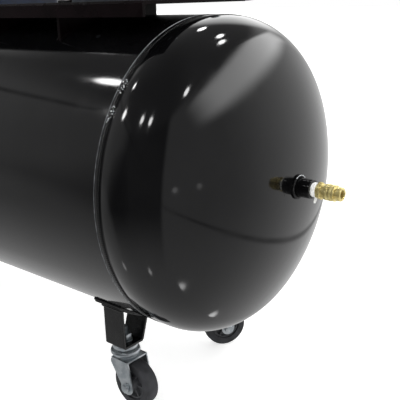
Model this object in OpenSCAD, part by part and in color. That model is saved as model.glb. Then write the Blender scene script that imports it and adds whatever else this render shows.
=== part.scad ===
// Belt-driven air compressor on a horizontal tank with four swivel casters.
// X runs along the tank towards its outlet, -Y is the front and Z is up.
// The origin lies on the floor, below the middle of the whole machine.

/* [Tank] */
// Outside radius of the tank
tank_r = 225; // [215:1:235]
// Length of the rolled shell between its two seams
shell_l = 1100; // [1060:10:1300]
// Wall thickness of the shell and of both heads
wall_t = 3; // [2:0.5:4]
// Height of the tank's underside above the plate that the casters are fixed to
tank_clear = 31; // [28:1:40]
// Straight flange of a head beyond its seam
flange_l = 28; // [20:1:40]
// Outside radius of a head's crown
crown_r = 360; // [340:1:420]
// Outside radius of a head's knuckle
knuckle_r = 69; // [60:1:75]
// Length of a head's set-in rim inside the shell
rim_l = 18; // [10:1:30]
// Width of the weld bead round each seam
weld_w = 12; // [8:1:16]
// Height of the weld bead above the shell
weld_h = 1.2; // [0.5:0.1:2]

/* [Legs] */
// Distance from a seam back to the leg's centre
leg_inset = 88; // [80:1:120]
// Distance from the tank's middle plane to a caster stem
stem_y = 108; // [105:0.5:112]
// Length of a leg bracket along the tank
bracket_l = 40; // [36:1:50]
// Thickness of the leg bracket's steel
bracket_t = 4; // [3:0.5:5]
// Thickness of the saddle strap under the tank
saddle_t = 5; // [3:0.5:6]
// Width of the saddle strap along the tank
saddle_w = 52; // [44:1:70]
// Half of the angle that the saddle strap covers
saddle_a = 37.5; // [36:0.5:42]

/* [Casters] */
// Height of a caster from the floor to the bracket
caster_h = 100; // [98:1:105]
// Outside radius of a caster wheel
wheel_r = 37.5; // [34:0.5:38]
// Width of the tyre
tyre_w = 24; // [18:1:26]
// Distance the wheel's axle trails behind the stem
trail = 20; // [14:1:22]
// Outside width of the fork
fork_w = 43; // [38:1:44]
// Thickness of the fork's steel
fork_t = 2.7; // [2:0.1:3]
// Rest angle of the casters: front right, rear right, front left, rear left
caster_turn = [0, 60, -20, 10];

/* [Deck] */
// Length of the deck along the tank
deck_l = 640; // [600:10:700]
// Front edge of the deck
deck_front = 124; // [118:1:130]
// Rear edge of the deck
deck_rear = 90; // [85:1:91]
// Thickness of the deck plate
deck_t = 5; // [4:0.5:8]
// Height of the deck's underside above the top of the tank
deck_gap = 15.2; // [12:0.1:25]
// Depth of the deck's turned-down front edge below the underside
deck_lip = 15; // [8:1:30]

/* [Motor] */
// Distance from the outlet seam back to the motor's axis
motor_back = 90; // [88:1:100]
// Height of the motor's axis above the deck
motor_up = 110; // [105:1:120]
// Radius of the motor's frame without its fins
motor_r = 74; // [68:1:76]
// Height of a cooling fin
fin_h = 12; // [6:1:14]
// Number of cooling fins round the motor
fin_count = 28; // [16:2:36]
// Radius of the motor's shaft
motor_shaft_r = 12; // [10:0.5:14]

/* [Pump] */
// Distance from the motor's axis to the crankshaft along the tank
drive_pitch = 380; // [370:1:400]
// Height of the crankshaft above the deck
crank_up = 153; // [150:1:165]
// Bore radius of a cylinder
bore_r = 32.5; // [28:0.5:34]
// Outside radius of a cylinder's fins
cyl_fin_r = 55; // [46:1:58]
// Half of the angle between the two cylinders
vee_a = 45; // [44:1:46]
// Crank throw, half of the piston's stroke
crank_throw = 22; // [18:1:23]
// Radius of the crankshaft's journals
journal_r = 15; // [12:0.5:16]

/* [Drive] */
// Pitch radius of the flywheel
fly_pitch_r = 145; // [135:1:146]
// Pitch radius of the motor pulley
pulley_pitch_r = 45; // [38:1:48]
// Width of the drive belt
belt_w = 13; // [10:0.5:14]
// Thickness of the drive belt
belt_t = 8; // [6:0.5:9]
// Distance of the belt's middle behind the tank's middle plane
belt_y = 120; // [118:1:121]

/* [Outlet] */
// Radius of the half coupling welded on the outlet head
socket_r = 13; // [12:0.5:16]
// Length of the half coupling beyond the head
socket_l = 23; // [18:1:26]
// Distance of the outlet behind the tank's middle plane
outlet_y = 12; // [0:1:20]
// Radius of the coupler's male thread
thread_r = 8; // [6:0.5:8]
// Radius of the coupler's open bore
coupler_bore_r = 5.6; // [4:0.1:6]

/* [Hidden] */
$fn = 96;
big_fn = 256;
// running clearance round a shaft, and gap between parts that pass each other
run_gap = 0.06;
free_gap = 0.3;
// the rest gap of a rim inside the shell
seat_gap = 0.2;
over = 1;
// how far a seated face stays off, so that two nodes only touch
touch = 0.05;

// head profile: the crown's centre lies on the axis, tangent to the knuckle
knuckle_x = tank_r - knuckle_r;
crown_drop = sqrt(pow(crown_r - knuckle_r, 2) - pow(knuckle_x, 2));
crown_z = flange_l - crown_drop;
tangent_a = atan2(crown_drop, knuckle_x);
head_l = crown_z + crown_r;
lap_a = 0.2;

// outlet fittings, measured outwards from the head's apex
tape_l = 7.5;
hex_z = socket_l + tape_l;
hex_l = 7;
coupler_l = 66;
sleeve_z = 42;
sleeve_l = 15;
nose_l = 8.5;
coupler_r = 9.5;

// the whole machine is centred on X between the coupler's tip and the left head
shell_x = -coupler_l / 2;
seam_right = shell_x + shell_l / 2;
seam_left = shell_x - shell_l / 2;
apex_right = seam_right + head_l;
axis_h = caster_h + tank_clear + tank_r;
tank_top = axis_h + tank_r;

leg_x = [seam_right - leg_inset, seam_left + leg_inset];
axle_z = wheel_r;
bracket_half = 21;
stem_r = 6;
stem_l = 28;
kingpin_r = 4;
axle_r = 4;
// fork: its crown plate reaches from fork_x0 to fork_x1 along the caster
fork_x0 = -12;
fork_x1 = 24.5;
crown_top = caster_h - 19.5;
// ball race: a neck and a wider ring on the fork, under a cup on the stem
race_neck_r = 20;
race_neck_h = 4;
race_r = 23;
race_h = 7;
race_top = crown_top + race_neck_h + race_h;
cup_r = 19.5;
hub_drop = 13.5;

deck_z = tank_top + deck_gap;
deck_top = deck_z + deck_t;
deck_x0 = seam_right - deck_l;

motor_x = seam_right - motor_back;
motor_z = deck_top + motor_up;
motor_y0 = -92;
motor_y1 = 60;
shield_l = 14;
cover_l = 62;
// cable gland: its whole length, and how much of it sits inside the terminal box
gland_r = 8;
gland_l = 26;
gland_in = 8;
// terminal box: its middle, its foot on the fins, and its height
box_y = -17;
box_z = motor_z + motor_r + fin_h - 4;
box_h = 42;
box_w = 90;
gland_z = box_z + 22;
fan_y = motor_y0 - shield_l - 40;
motor_bolt_x = 70;
motor_bolt_y = [-78, 47];

crank_x = motor_x - drive_pitch;
crank_z = deck_top + crank_up;
case_r = 72;
case_bore_r = 60;
case_y0 = -75;
case_y1 = 65;
seat_z = 86;
barrel_top = 170;
// half widths of a cylinder's foot flange and of its head, and the head bolts' spacing
seat_half = 46;
head_half = 48;
head_bolt = 37;
plate_t = 5;
head_body = 18;
cyl_y = 9;
pump_bolt_x = 70;
pump_bolt_y = [-60, 50];
bearing_r = 26;
bearing_l = 10;
piston_l = 42;
piston_z = 100;

fly_rim_w = 36;
guard_y0 = deck_rear;
guard_y1 = 152;
guard_t = 1.5;
guard_fly_r = 160;
guard_nose_r = 120;
guard_nose_x = seam_right - 45;
bolt_r = 5;
foot_t = 14;
joint_swell = 0.6;

check_x = -200;
manifold_x = -330;
manifold_z = 640;
switch_z = 690;
port_z = manifold_z + 18;
safety_x = manifold_x + 56;
safety_z = manifold_z + 2;
safety_body = 50;
drain_x = -20;

// turns a child's Z axis to X, and to Y
module along_x() { rotate([0, 90, 0]) children(); }
module along_y() { rotate([-90, 0, 0]) children(); }

// a tube of round bar through a list of points, with a slightly fatter elbow at each bend
module pipe(points, r) {
    for (i = [0 : len(points) - 2]) {
        a = points[i];
        d = points[i + 1] - a;
        translate(a) rotate([0, acos(d[2] / norm(d)), atan2(d[1], d[0])]) cylinder(r = r, h = norm(d));
        if (i > 0) translate(a) sphere(r = r + joint_swell);
    }
}

module hex(af, h) { cylinder(r = af / sqrt(3), h = h, $fn = 6); }

// a hexagon whose corners are turned off at its outer end
module hex_head(af, h) {
    intersection() {
        hex(af, h);
        cylinder(r1 = af / 2 + h, r2 = af / 2, h = h);
    }
}

// a rectangle centred on the origin, with round corners
module rounded_rect(w, d, r) {
    square([w - 2 * r, d], center = true);
    square([w, d - 2 * r], center = true);
    for (x = [-1, 1], y = [-1, 1]) translate([x * (w / 2 - r), y * (d / 2 - r)]) circle(r = r, $fn = 32);
}

module tank_space(r) {
    translate([shell_x - shell_l, 0, axis_h]) along_x() cylinder(r = r, h = 2 * shell_l, $fn = big_fn);
}

// ---- tank ----
module tank_shell() {
    color([0.03, 0.03, 0.03]) translate([seam_left, 0, axis_h]) along_x() difference() {
        cylinder(r = tank_r, h = shell_l, $fn = big_fn);
        translate([0, 0, -over]) cylinder(r = tank_r - wall_t, h = shell_l + 2 * over, $fn = big_fn);
    }
}

module arc_ring(r, a0, a1) {
    far = 2 * r;
    mid = (a0 + a1) / 2;
    intersection() {
        difference() {
            circle(r = r, $fn = big_fn);
            circle(r = r - wall_t, $fn = big_fn);
        }
        polygon([[0, 0], far * [cos(a0), sin(a0)], far * [cos(mid), sin(mid)], far * [cos(a1), sin(a1)]]);
    }
}

module head_profile() {
    rim_r = tank_r - wall_t - seat_gap;
    bead_r = (weld_w * weld_w / 4 + weld_h * weld_h) / (2 * weld_h);
    translate([rim_r - wall_t, -rim_l]) square([wall_t, rim_l + weld_w]);
    translate([rim_r, 0]) square([tank_r - rim_r, weld_w]);
    intersection() {
        translate([tank_r + weld_h - bead_r, weld_w / 2]) circle(r = bead_r);
        translate([tank_r - over, 0]) square([weld_h + 2 * over, weld_w]);
    }
    translate([rim_r - wall_t, weld_w]) square([tank_r - rim_r + wall_t, wall_t]);
    translate([tank_r - wall_t, weld_w + wall_t]) square([wall_t, flange_l - weld_w - wall_t]);
    translate([knuckle_x, flange_l]) arc_ring(knuckle_r, 0, tangent_a);
    // the crown laps a hair over the knuckle, so that the two fuse
    translate([0, crown_z]) arc_ring(crown_r, tangent_a - lap_a, 90);
}

module dished_head() { rotate_extrude($fn = big_fn) head_profile(); }

module head_right() {
    color([0.03, 0.03, 0.03]) translate([seam_right, 0, axis_h]) along_x() difference() {
        dished_head();
        translate([0, outlet_y, head_l - 2 * wall_t]) cylinder(r = coupler_bore_r, h = 4 * wall_t);
    }
}

module head_left() {
    color([0.03, 0.03, 0.03]) translate([seam_left, 0, axis_h]) mirror([1, 0, 0]) along_x() dished_head();
}

module outlet_socket() {
    bead_w = 6;
    bead_top = 7;
    color([0.05, 0.05, 0.05]) difference() {
        union() {
            outlet_at(-2) cylinder(r = socket_r, h = socket_l + 2);
            outlet_at(-2) cylinder(r1 = socket_r + bead_w, r2 = socket_r + 1, h = bead_top + 2);
        }
        translate([apex_right - crown_r, 0, axis_h]) sphere(r = crown_r, $fn = big_fn);
        outlet_at(-2 * over) cylinder(r = thread_r, h = socket_l + 4 * over);
    }
}

// ---- legs ----
module leg_saddles() {
    color([0.05, 0.05, 0.05]) for (x = leg_x) translate([x - saddle_w / 2, 0, axis_h]) along_x()
        rotate([0, 0, -saddle_a]) rotate_extrude(angle = 2 * saddle_a, $fn = big_fn)
            translate([tank_r + seat_gap / 2, 0]) square([saddle_t, saddle_w]);
}

// section of a bracket across the tank: upright outer flange, inner flange leaning inwards
module bracket_section() {
    lean_a = 18;
    out = stem_y + bracket_half;
    in = stem_y - bracket_half;
    lean = tan(lean_a);
    bend = 3;
    rise = 160;
    step = bracket_t / cos(lean_a);
    difference() {
        polygon([[-out, caster_h + rise], [-out, caster_h + bend], [-out + bend, caster_h],
            [-in - bend, caster_h], [-in, caster_h + bend], [-in + rise * lean, caster_h + bend + rise]]);
        polygon([[-out + bracket_t, caster_h + rise + over], [-out + bracket_t, caster_h + bracket_t],
            [-in - step, caster_h + bracket_t],
            [-in - step + rise * lean, caster_h + bracket_t + rise]]);
    }
}

module leg_bracket(x) {
    difference() {
        translate([x - bracket_l / 2, 0, 0]) rotate([90, 0, 90]) linear_extrude(bracket_l) bracket_section();
        tank_space(tank_r + saddle_t + seat_gap);
        translate([x, -stem_y, caster_h - over]) cylinder(r = stem_r + seat_gap, h = 3 * bracket_t);
    }
}

module leg_brackets() {
    color([0.05, 0.05, 0.05]) for (x = leg_x, side = [0, 1]) mirror([0, side, 0]) leg_bracket(x);
}

// ---- casters ----
// place one caster: i counts front right, rear right, front left, rear left
module at_caster(i) {
    x = leg_x[i < 2 ? 0 : 1];
    y = (i % 2 == 0 ? -1 : 1) * stem_y;
    translate([x, y, 0]) rotate([0, 0, caster_turn[i]]) children();
}

module caster_stem() {
    washer_t = 2;
    rivet_h = 2.6;
    cup_z = race_top + free_gap;
    pin_z = crown_top - fork_t - free_gap;
    translate([0, 0, cup_z]) cylinder(r = cup_r, h = caster_h - cup_z - touch);
    translate([0, 0, caster_h - over]) cylinder(r = stem_r, h = stem_l + over);
    translate([0, 0, pin_z - rivet_h]) cylinder(r = 6, h = rivet_h);
    translate([0, 0, pin_z - over]) cylinder(r = kingpin_r, h = cup_z - pin_z + 2 * over);
    translate([0, 0, caster_h + bracket_t]) cylinder(r = 12, h = washer_t);
    translate([0, 0, caster_h + bracket_t + washer_t]) hex(18, 10);
}

module caster_stems() {
    color([0.72, 0.75, 0.78]) for (i = [0 : 3]) at_caster(i) caster_stem();
}

module fork_leg() {
    end_r = 12;
    linear_extrude(fork_t) difference() {
        union() {
            polygon([[fork_x0, crown_top], [fork_x1, crown_top], [fork_x1 + 2, crown_top - 8],
                [trail + end_r, axle_z + 2], [trail, axle_z - 2], [trail - end_r, axle_z + 2],
                [fork_x0, crown_top - 8]]);
            translate([trail, axle_z]) circle(r = end_r);
        }
        translate([trail, axle_z]) circle(r = axle_r);
    }
}

module axle_bolt() {
    half = fork_w / 2;
    head_h = 5.3;
    nut_h = 6.5;
    translate([trail, -half - head_h, axle_z]) along_y() {
        hex(13, head_h);
        cylinder(r = axle_r, h = fork_w + head_h + nut_h + 2.5);
        translate([0, 0, fork_w + head_h]) hex(13, nut_h);
    }
}

module caster_fork() {
    half = fork_w / 2;
    difference() {
        union() {
            translate([fork_x0, -half, crown_top - fork_t]) cube([fork_x1 - fork_x0, fork_w, fork_t]);
            translate([0, 0, crown_top - over]) cylinder(r = race_neck_r, h = race_neck_h + 2 * over);
            translate([0, 0, crown_top + race_neck_h]) cylinder(r = race_r, h = race_h);
        }
        translate([0, 0, crown_top - 2 * fork_t]) cylinder(r = kingpin_r + run_gap, h = 30);
    }
    for (y = [-half + fork_t, half]) translate([0, y, 0]) rotate([90, 0, 0]) fork_leg();
    axle_bolt();
}

module caster_hub() {
    hub_r = wheel_r - hub_drop;
    inner = fork_w / 2 - fork_t - free_gap;
    boss_r = 9;
    half = tyre_w / 2 - 3;
    web = 3;
    rim_t = 3.5;
    bore = axle_r + run_gap;
    translate([trail, 0, axle_z]) along_y() {
        rotate_extrude() polygon([[bore, -inner], [boss_r, -inner], [boss_r, -web], [hub_r - rim_t, -web],
            [hub_r - rim_t, -half], [hub_r, -half], [hub_r, half], [hub_r - rim_t, half],
            [hub_r - rim_t, web], [boss_r, web], [boss_r, inner], [bore, inner]]);
        for (i = [0 : 5]) rotate([0, 0, i * 60]) translate([boss_r - over, -1, 1 - half])
            cube([hub_r - rim_t - boss_r + 1.5, 2, 2 * half - 2]);
    }
}

module caster_tyre() {
    hub_r = wheel_r - hub_drop;
    half = tyre_w / 2;
    edge = 4.5;
    crown = 0.4;
    translate([trail, 0, axle_z]) along_y() rotate_extrude()
        polygon([[hub_r, -half], [wheel_r - edge, -half], [wheel_r - edge / 3, edge / 3 - half],
            [wheel_r - crown, edge - half], [wheel_r, 0], [wheel_r - crown, half - edge],
            [wheel_r - edge / 3, half - edge / 3], [wheel_r - edge, half], [hub_r, half]]);
}

module fork_at(i) { color([0.72, 0.75, 0.78]) at_caster(i) caster_fork(); }
module hub_at(i) { color([0.2, 0.2, 0.21]) at_caster(i) caster_hub(); }
module tyre_at(i) { color([0.16, 0.16, 0.17]) at_caster(i) caster_tyre(); }

// ---- deck ----
module deck_holes() {
    for (p = bolt_places()) translate([p[0], p[1], deck_z - over]) cylinder(r = bolt_r, h = deck_t + 2 * over);
}

function bolt_places() = concat(
    [for (x = [-1, 1], y = motor_bolt_y) [motor_x + x * motor_bolt_x, y]],
    [for (x = [-1, 1], y = pump_bolt_y) [crank_x + x * pump_bolt_x, y]]);

module deck_plate() {
    bend = 3;
    color([0.06, 0.05, 0.05]) difference() {
        translate([deck_x0, 0, 0]) rotate([90, 0, 90]) linear_extrude(deck_l) polygon([
            [-deck_front, deck_z - deck_lip], [-deck_front + deck_t, deck_z - deck_lip],
            [-deck_front + deck_t, deck_z - bend], [-deck_front + deck_t + bend, deck_z],
            [deck_rear, deck_z], [deck_rear, deck_top],
            [-deck_front + bend, deck_top], [-deck_front, deck_top - bend]]);
        deck_holes();
    }
}

module deck_webs() {
    web_t = 6;
    y0 = -deck_front + deck_t + 4;
    // one web near the deck's left end, and one beside each machine's foot
    web_x = [deck_x0 + 30, crank_x + pump_bolt_x + 60, motor_x - motor_bolt_x - 18];
    color([0.06, 0.05, 0.05]) difference() {
        for (x = web_x)
            translate([x, y0, axis_h]) cube([web_t, deck_rear - 6 - y0, deck_z - axis_h]);
        tank_space(tank_r);
    }
}

// studs welded flush into the deck, each with a washer and a nut on the machine's foot
module deck_bolts() {
    washer_t = 2;
    nut_h = 8;
    color([0.7, 0.7, 0.72]) for (p = bolt_places()) translate([p[0], p[1], deck_z]) {
        cylinder(r = bolt_r, h = deck_t + foot_t + washer_t + nut_h + 4);
        translate([0, 0, deck_t + foot_t]) cylinder(r = 10, h = washer_t);
        translate([0, 0, deck_t + foot_t + washer_t]) hex(16, nut_h);
    }
}

// ---- motor ----
module motor_at(y) { translate([motor_x, y, motor_z]) along_y() children(); }

module motor_frame() {
    l = motor_y1 - motor_y0;
    foot_w = 170;
    foot_l = 44;
    rib_t = 8;
    wall = 8;
    color([0.16, 0.18, 0.2]) difference() {
        union() {
            motor_at(motor_y0) cylinder(r = motor_r, h = l);
            motor_at(motor_y0 + 6) for (i = [0 : fin_count - 1]) rotate([0, 0, i * 360 / fin_count])
                translate([motor_r - 4, -1.5, 0]) cube([fin_h + 4, 3, l - 12]);
            for (y = motor_bolt_y) {
                translate([motor_x, y, deck_top]) linear_extrude(foot_t) rounded_rect(foot_w, foot_l - 16, 10);
                // two webs carry the frame on each foot
                translate([motor_x, y + rib_t / 2, deck_top + foot_t - over]) rotate([90, 0, 0])
                    linear_extrude(rib_t) polygon([[-58, 0], [58, 0], [38, motor_up - 62], [-38, motor_up - 62]]);
            }
        }
        motor_at(motor_y0 - over) cylinder(r = motor_r - wall, h = l + 2 * over);
        for (x = [-motor_bolt_x, motor_bolt_x], y = motor_bolt_y)
            translate([motor_x + x, y, deck_top - over]) cylinder(r = bolt_r, h = foot_t + 2 * over);
    }
}

module shield_profile() {
    rim = motor_r;
    hub = 30;
    polygon([[motor_shaft_r + run_gap, 0], [rim, 0], [rim, 7], [rim - 4, 11], [hub + 14, 11],
        [hub, shield_l], [motor_shaft_r + run_gap, shield_l]]);
}

module motor_shields() {
    color([0.16, 0.18, 0.2]) {
        motor_at(motor_y1) {
            rotate_extrude() shield_profile();
            for (i = [0 : 3]) rotate([0, 0, 45 + i * 90]) translate([60, 0, 0]) cylinder(r = 9, h = shield_l);
        }
        translate([motor_x, motor_y0, motor_z]) rotate([90, 0, 0]) rotate_extrude() shield_profile();
    }
}

module motor_fan_cover() {
    cover_r = motor_r + fin_h;
    dome = 12;
    long = cover_l + 12;
    lip = 5;
    color([0.12, 0.12, 0.13]) motor_at(motor_y0 - shield_l - cover_l) difference() {
        rotate_extrude() polygon([[0, 0], [cover_r - dome, 0], [cover_r - dome / 3, dome / 3], [cover_r, dome],
            [cover_r, long], [motor_r + touch, long], [motor_r + touch, long - lip],
            [cover_r - 3, long - lip - 3], [cover_r - 3, dome + 1],
            [cover_r - dome / 3 - 2.4, dome / 3 + 2], [cover_r - dome - 1, 2.5], [0, 2.5]]);
        // the grille: three rings of slots, open between radial spokes
        for (ring = [0 : 2], i = [0 : 11]) rotate([0, 0, i * 30]) rotate_extrude(angle = 24)
            translate([22 + ring * 17, -over]) square([9, 5]);
    }
}

module motor_fan() {
    color([0.2, 0.2, 0.2]) motor_at(fan_y) difference() {
        union() {
            rotate_extrude() polygon([[motor_shaft_r, 0], [20, 0], [20, 8], [26, 3], [60, 3], [60, 6],
                [28, 6], [20, 14], [20, 30], [motor_shaft_r, 30]]);
            for (i = [0 : 7]) rotate([0, 0, i * 45]) rotate([90, 0, 0]) translate([0, 0, -1.5])
                linear_extrude(3) polygon([[17, 0], [60, 0], [60, 22], [50, 27], [17, 27]]);
        }
        translate([0, 0, -over]) cylinder(r = motor_shaft_r, h = 40);
    }
}

module motor_rotor() {
    color([0.65, 0.65, 0.66]) {
        motor_at(fan_y) cylinder(r = motor_shaft_r, h = belt_y + 18 - fan_y);
        motor_at(motor_y0 + 20) cylinder(r = 45, h = motor_y1 - motor_y0 - 40);
    }
}

module groove_profile(pitch_r, w, hub_r) {
    outer = pitch_r + belt_t / 2 + 1;
    inner = pitch_r - belt_t / 2 - 0.6;
    half = belt_w / 2 + 0.5;
    polygon([[hub_r, -w / 2], [outer, -w / 2], [outer, -half], [inner, -half],
        [inner, half], [outer, half], [outer, w / 2], [hub_r, w / 2]]);
}

module motor_pulley() {
    color([0.5, 0.5, 0.5]) motor_at(belt_y) rotate_extrude()
        groove_profile(pulley_pitch_r, 26, motor_shaft_r);
}

module terminal_box() {
    wall = 4;
    color([0.16, 0.18, 0.2]) difference() {
        translate([motor_x, box_y, box_z]) linear_extrude(box_h) rounded_rect(box_w, box_w, 8);
        translate([motor_x, box_y, box_z + wall]) linear_extrude(box_h)
            rounded_rect(box_w - 2 * wall, box_w - 2 * wall, 5);
        motor_at(motor_y0 + 6) cylinder(r = motor_r + fin_h + seat_gap, h = motor_y1 - motor_y0 - 12);
        translate([motor_x + 30, box_y, gland_z]) along_x() cylinder(r = gland_r, h = 20);
    }
}

module terminal_lid() {
    color([0.16, 0.18, 0.2]) translate([motor_x, box_y, box_z + box_h]) {
        linear_extrude(5) rounded_rect(box_w + 4, box_w + 4, 9);
        translate([0, 0, 4]) linear_extrude(4) rounded_rect(70, 70, 7);
    }
}

module cable_gland() {
    color([0.1, 0.1, 0.1]) translate([motor_x + box_w / 2 - gland_in, box_y, gland_z]) along_x() difference() {
        union() {
            cylinder(r = gland_r, h = gland_l);
            translate([0, 0, gland_in]) hex(22, gland_l - gland_in);
        }
        translate([0, 0, -over]) cylinder(r = 5, h = gland_l + 2 * over);
    }
}

// ---- pump ----
module pump_at(y) { translate([crank_x, y, crank_z]) along_y() children(); }

// side is 1 for the cylinder leaning to the outlet end and -1 for the other one
module on_bank(side) {
    translate([crank_x, -side * cyl_y, crank_z]) rotate([0, side * vee_a, 0]) children();
}

module crankcase() {
    foot_w = 170;
    long = case_y1 - case_y0;
    mid_y = (case_y0 + case_y1) / 2;
    color([0.1, 0.12, 0.16]) difference() {
        union() {
            pump_at(case_y0) cylinder(r = case_r, h = long);
            for (s = [-1, 1]) on_bank(s) {
                linear_extrude(seat_z - 8) rounded_rect(2 * seat_half - 10, 2 * seat_half - 10, 14);
                translate([0, 0, seat_z - 9]) linear_extrude(9) rounded_rect(2 * seat_half, 2 * seat_half, 12);
            }
            // tapered pedestal on a foot plate, with a rib at each end
            translate([crank_x, case_y1 - 6, deck_top + foot_t - over]) rotate([90, 0, 0])
                linear_extrude(long - 12) polygon([[-64, 0], [64, 0], [46, crank_up - 60], [-46, crank_up - 60]]);
            for (y = [case_y0 + 12, case_y1]) translate([crank_x, y, deck_top + foot_t - over])
                rotate([90, 0, 0]) linear_extrude(12)
                    polygon([[-78, 0], [78, 0], [54, crank_up - 70], [-54, crank_up - 70]]);
            translate([crank_x, mid_y, deck_top]) linear_extrude(foot_t) rounded_rect(foot_w, long, 16);
        }
        pump_at(case_y0 - over) cylinder(r = case_bore_r, h = long - 10 + over);
        pump_at(case_y1 - 20) cylinder(r = bearing_r, h = 30);
        for (s = [-1, 1]) on_bank(s) cylinder(r = bore_r + 2, h = seat_z + over);
        for (x = [-pump_bolt_x, pump_bolt_x], y = pump_bolt_y) {
            translate([crank_x + x, y, deck_top - over]) cylinder(r = bolt_r, h = foot_t + 2 * over);
            // room for the nut and a spanner beside the rib
            translate([crank_x + x, y, deck_top + foot_t]) cylinder(r = 13, h = 60);
        }
    }
}

module crankcase_cover() {
    glass_x = 38;
    glass_z = -34;
    color([0.1, 0.12, 0.16]) difference() {
        translate([crank_x, case_y0, crank_z]) rotate([90, 0, 0]) rotate_extrude() polygon([[0, 0],
            [case_r, 0], [case_r, 8], [case_r - 2, 10], [46, 10], [36, 18], [0, 18]]);
        pump_at(case_y0 - 8) cylinder(r = bearing_r, h = 10);
        translate([crank_x + glass_x, case_y0 - 7, crank_z + glass_z]) along_y() cylinder(r = 8, h = 20);
    }
    color([0.9, 0.8, 0.4]) translate([crank_x + glass_x, case_y0 - 13, crank_z + glass_z]) along_y()
        cylinder(r = 12, h = 3);
}

module oil_cap() {
    color([0.1, 0.1, 0.1]) translate([crank_x, case_y0 + 12, crank_z + case_r - 1.5]) difference() {
        union() {
            cylinder(r = 9, h = 14);
            translate([0, 0, 14]) cylinder(r = 15, h = 12, $fn = 12);
        }
        pump_clear();
    }
}

// the crankcase's outside, moved to the oil cap's own place
module pump_clear() {
    translate([0, -case_r, 1.5 - case_r]) along_y() cylinder(r = case_r, h = 2 * case_r);
}

module crankshaft() {
    color([0.65, 0.65, 0.66]) {
        pump_at(case_y0 - 6) cylinder(r = journal_r, h = 40);
        pump_at(case_y1 - 30) cylinder(r = journal_r, h = belt_y + 20 - case_y1 + 30);
        for (y = [case_y0 + 32, case_y1 - 42]) pump_at(y) {
            cylinder(r = 30, h = 12);
            translate([-16, 0, 0]) cylinder(r = 38, h = 12);
        }
        pump_at(case_y0 + 40) translate([crank_throw, 0, 0]) cylinder(r = 11, h = case_y1 - case_y0 - 78);
    }
}

module crank_bearings() {
    color([0.75, 0.75, 0.76]) for (y = [case_y0 - 8, case_y1 - 20]) pump_at(y) difference() {
        cylinder(r = bearing_r, h = y < 0 ? 8 : 20);
        translate([0, 0, -over]) cylinder(r = journal_r + run_gap, h = 30);
    }
}

module cylinders() {
    fin_n = 8;
    fin_pitch = 8;
    fin_t = 2.4;
    color([0.1, 0.12, 0.16]) for (s = [-1, 1]) on_bank(s) difference() {
        union() {
            translate([0, 0, seat_z]) linear_extrude(8) rounded_rect(2 * seat_half, 2 * seat_half, 12);
            translate([0, 0, seat_z]) cylinder(r = bore_r + 7, h = barrel_top - seat_z);
            for (i = [0 : fin_n - 1]) translate([0, 0, seat_z + 14 + i * fin_pitch])
                linear_extrude(fin_t) rounded_rect(2 * cyl_fin_r - 8, 2 * cyl_fin_r - 8, 26);
            translate([0, 0, barrel_top - 7]) linear_extrude(7) rounded_rect(2 * head_half, 2 * head_half, 14);
            for (x = [-1, 1], y = [-1, 1]) translate([x * 36, y * 36, seat_z]) hex(12, 14);
        }
        translate([0, 0, seat_z - over]) cylinder(r = bore_r, h = barrel_top - seat_z + 2 * over);
    }
}

module cylinder_heads() {
    z = barrel_top;
    fin_z = z + plate_t + head_body;
    fin_h2 = 17;
    color([0.7, 0.7, 0.7]) for (s = [-1, 1]) on_bank(s) {
        translate([0, 0, z]) linear_extrude(plate_t) rounded_rect(2 * head_half, 2 * head_half, 14);
        translate([0, 0, z + plate_t - over]) linear_extrude(head_body + over)
            rounded_rect(2 * head_half - 3, 2 * head_half - 3, 13);
        // the ports' flat faces, where the tubes and the filter are screwed in
        for (a = [0, 90, 180, 270]) rotate([0, 0, a]) translate([head_half - 8, 0, z + plate_t])
            linear_extrude(head_body) rounded_rect(16, 34, 3);
        difference() {
            for (i = [-4 : 4]) translate([i * 10 - 1.5, -head_half + 2, fin_z - over])
                cube([3, 2 * head_half - 4, fin_h2 + over]);
            for (x = [-1, 1], y = [-1, 1]) translate([x * head_bolt, y * head_bolt, fin_z]) cylinder(r = 11, h = 30);
        }
        for (x = [-1, 1], y = [-1, 1]) translate([x * head_bolt, y * head_bolt, fin_z - over]) {
            cylinder(r = 10, h = 2.5);
            hex_head(14, 10);
        }
    }
}

module piston(s) {
    color([0.7, 0.7, 0.7]) on_bank(s) difference() {
        translate([0, 0, piston_z]) cylinder(r = bore_r - run_gap, h = piston_l);
        translate([0, 0, piston_z - over]) cylinder(r = bore_r - 6, h = piston_l - 8);
    }
    color([0.65, 0.65, 0.66]) on_bank(s) translate([0, -bore_r + 5, piston_z + 16]) along_y()
        cylinder(r = 7, h = 2 * bore_r - 10);
}

module air_filters() {
    z = barrel_top + plate_t + head_body / 2;
    color([0.1, 0.1, 0.1]) for (s = [-1, 1]) on_bank(s) translate([s * head_half, 0, z])
        rotate([0, s * 90, 0]) difference() {
            rotate_extrude() polygon([[0, 0], [8, 0], [8, 10], [14, 14], [32, 14], [34, 16], [34, 42],
                [31, 48], [22, 50], [0, 50]]);
            // intake slots round the drum
            for (i = [0 : 17]) rotate([0, 0, i * 20]) translate([30, -2, 19]) cube([8, 4, 20]);
        }
}

// a point of one bank's own frame, in the machine's frame
function bank_point(s, x, y, z) = [crank_x + x * cos(vee_a) + s * z * sin(vee_a),
    -s * cyl_y + y, crank_z + z * cos(vee_a) - s * x * sin(vee_a)];

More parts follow.
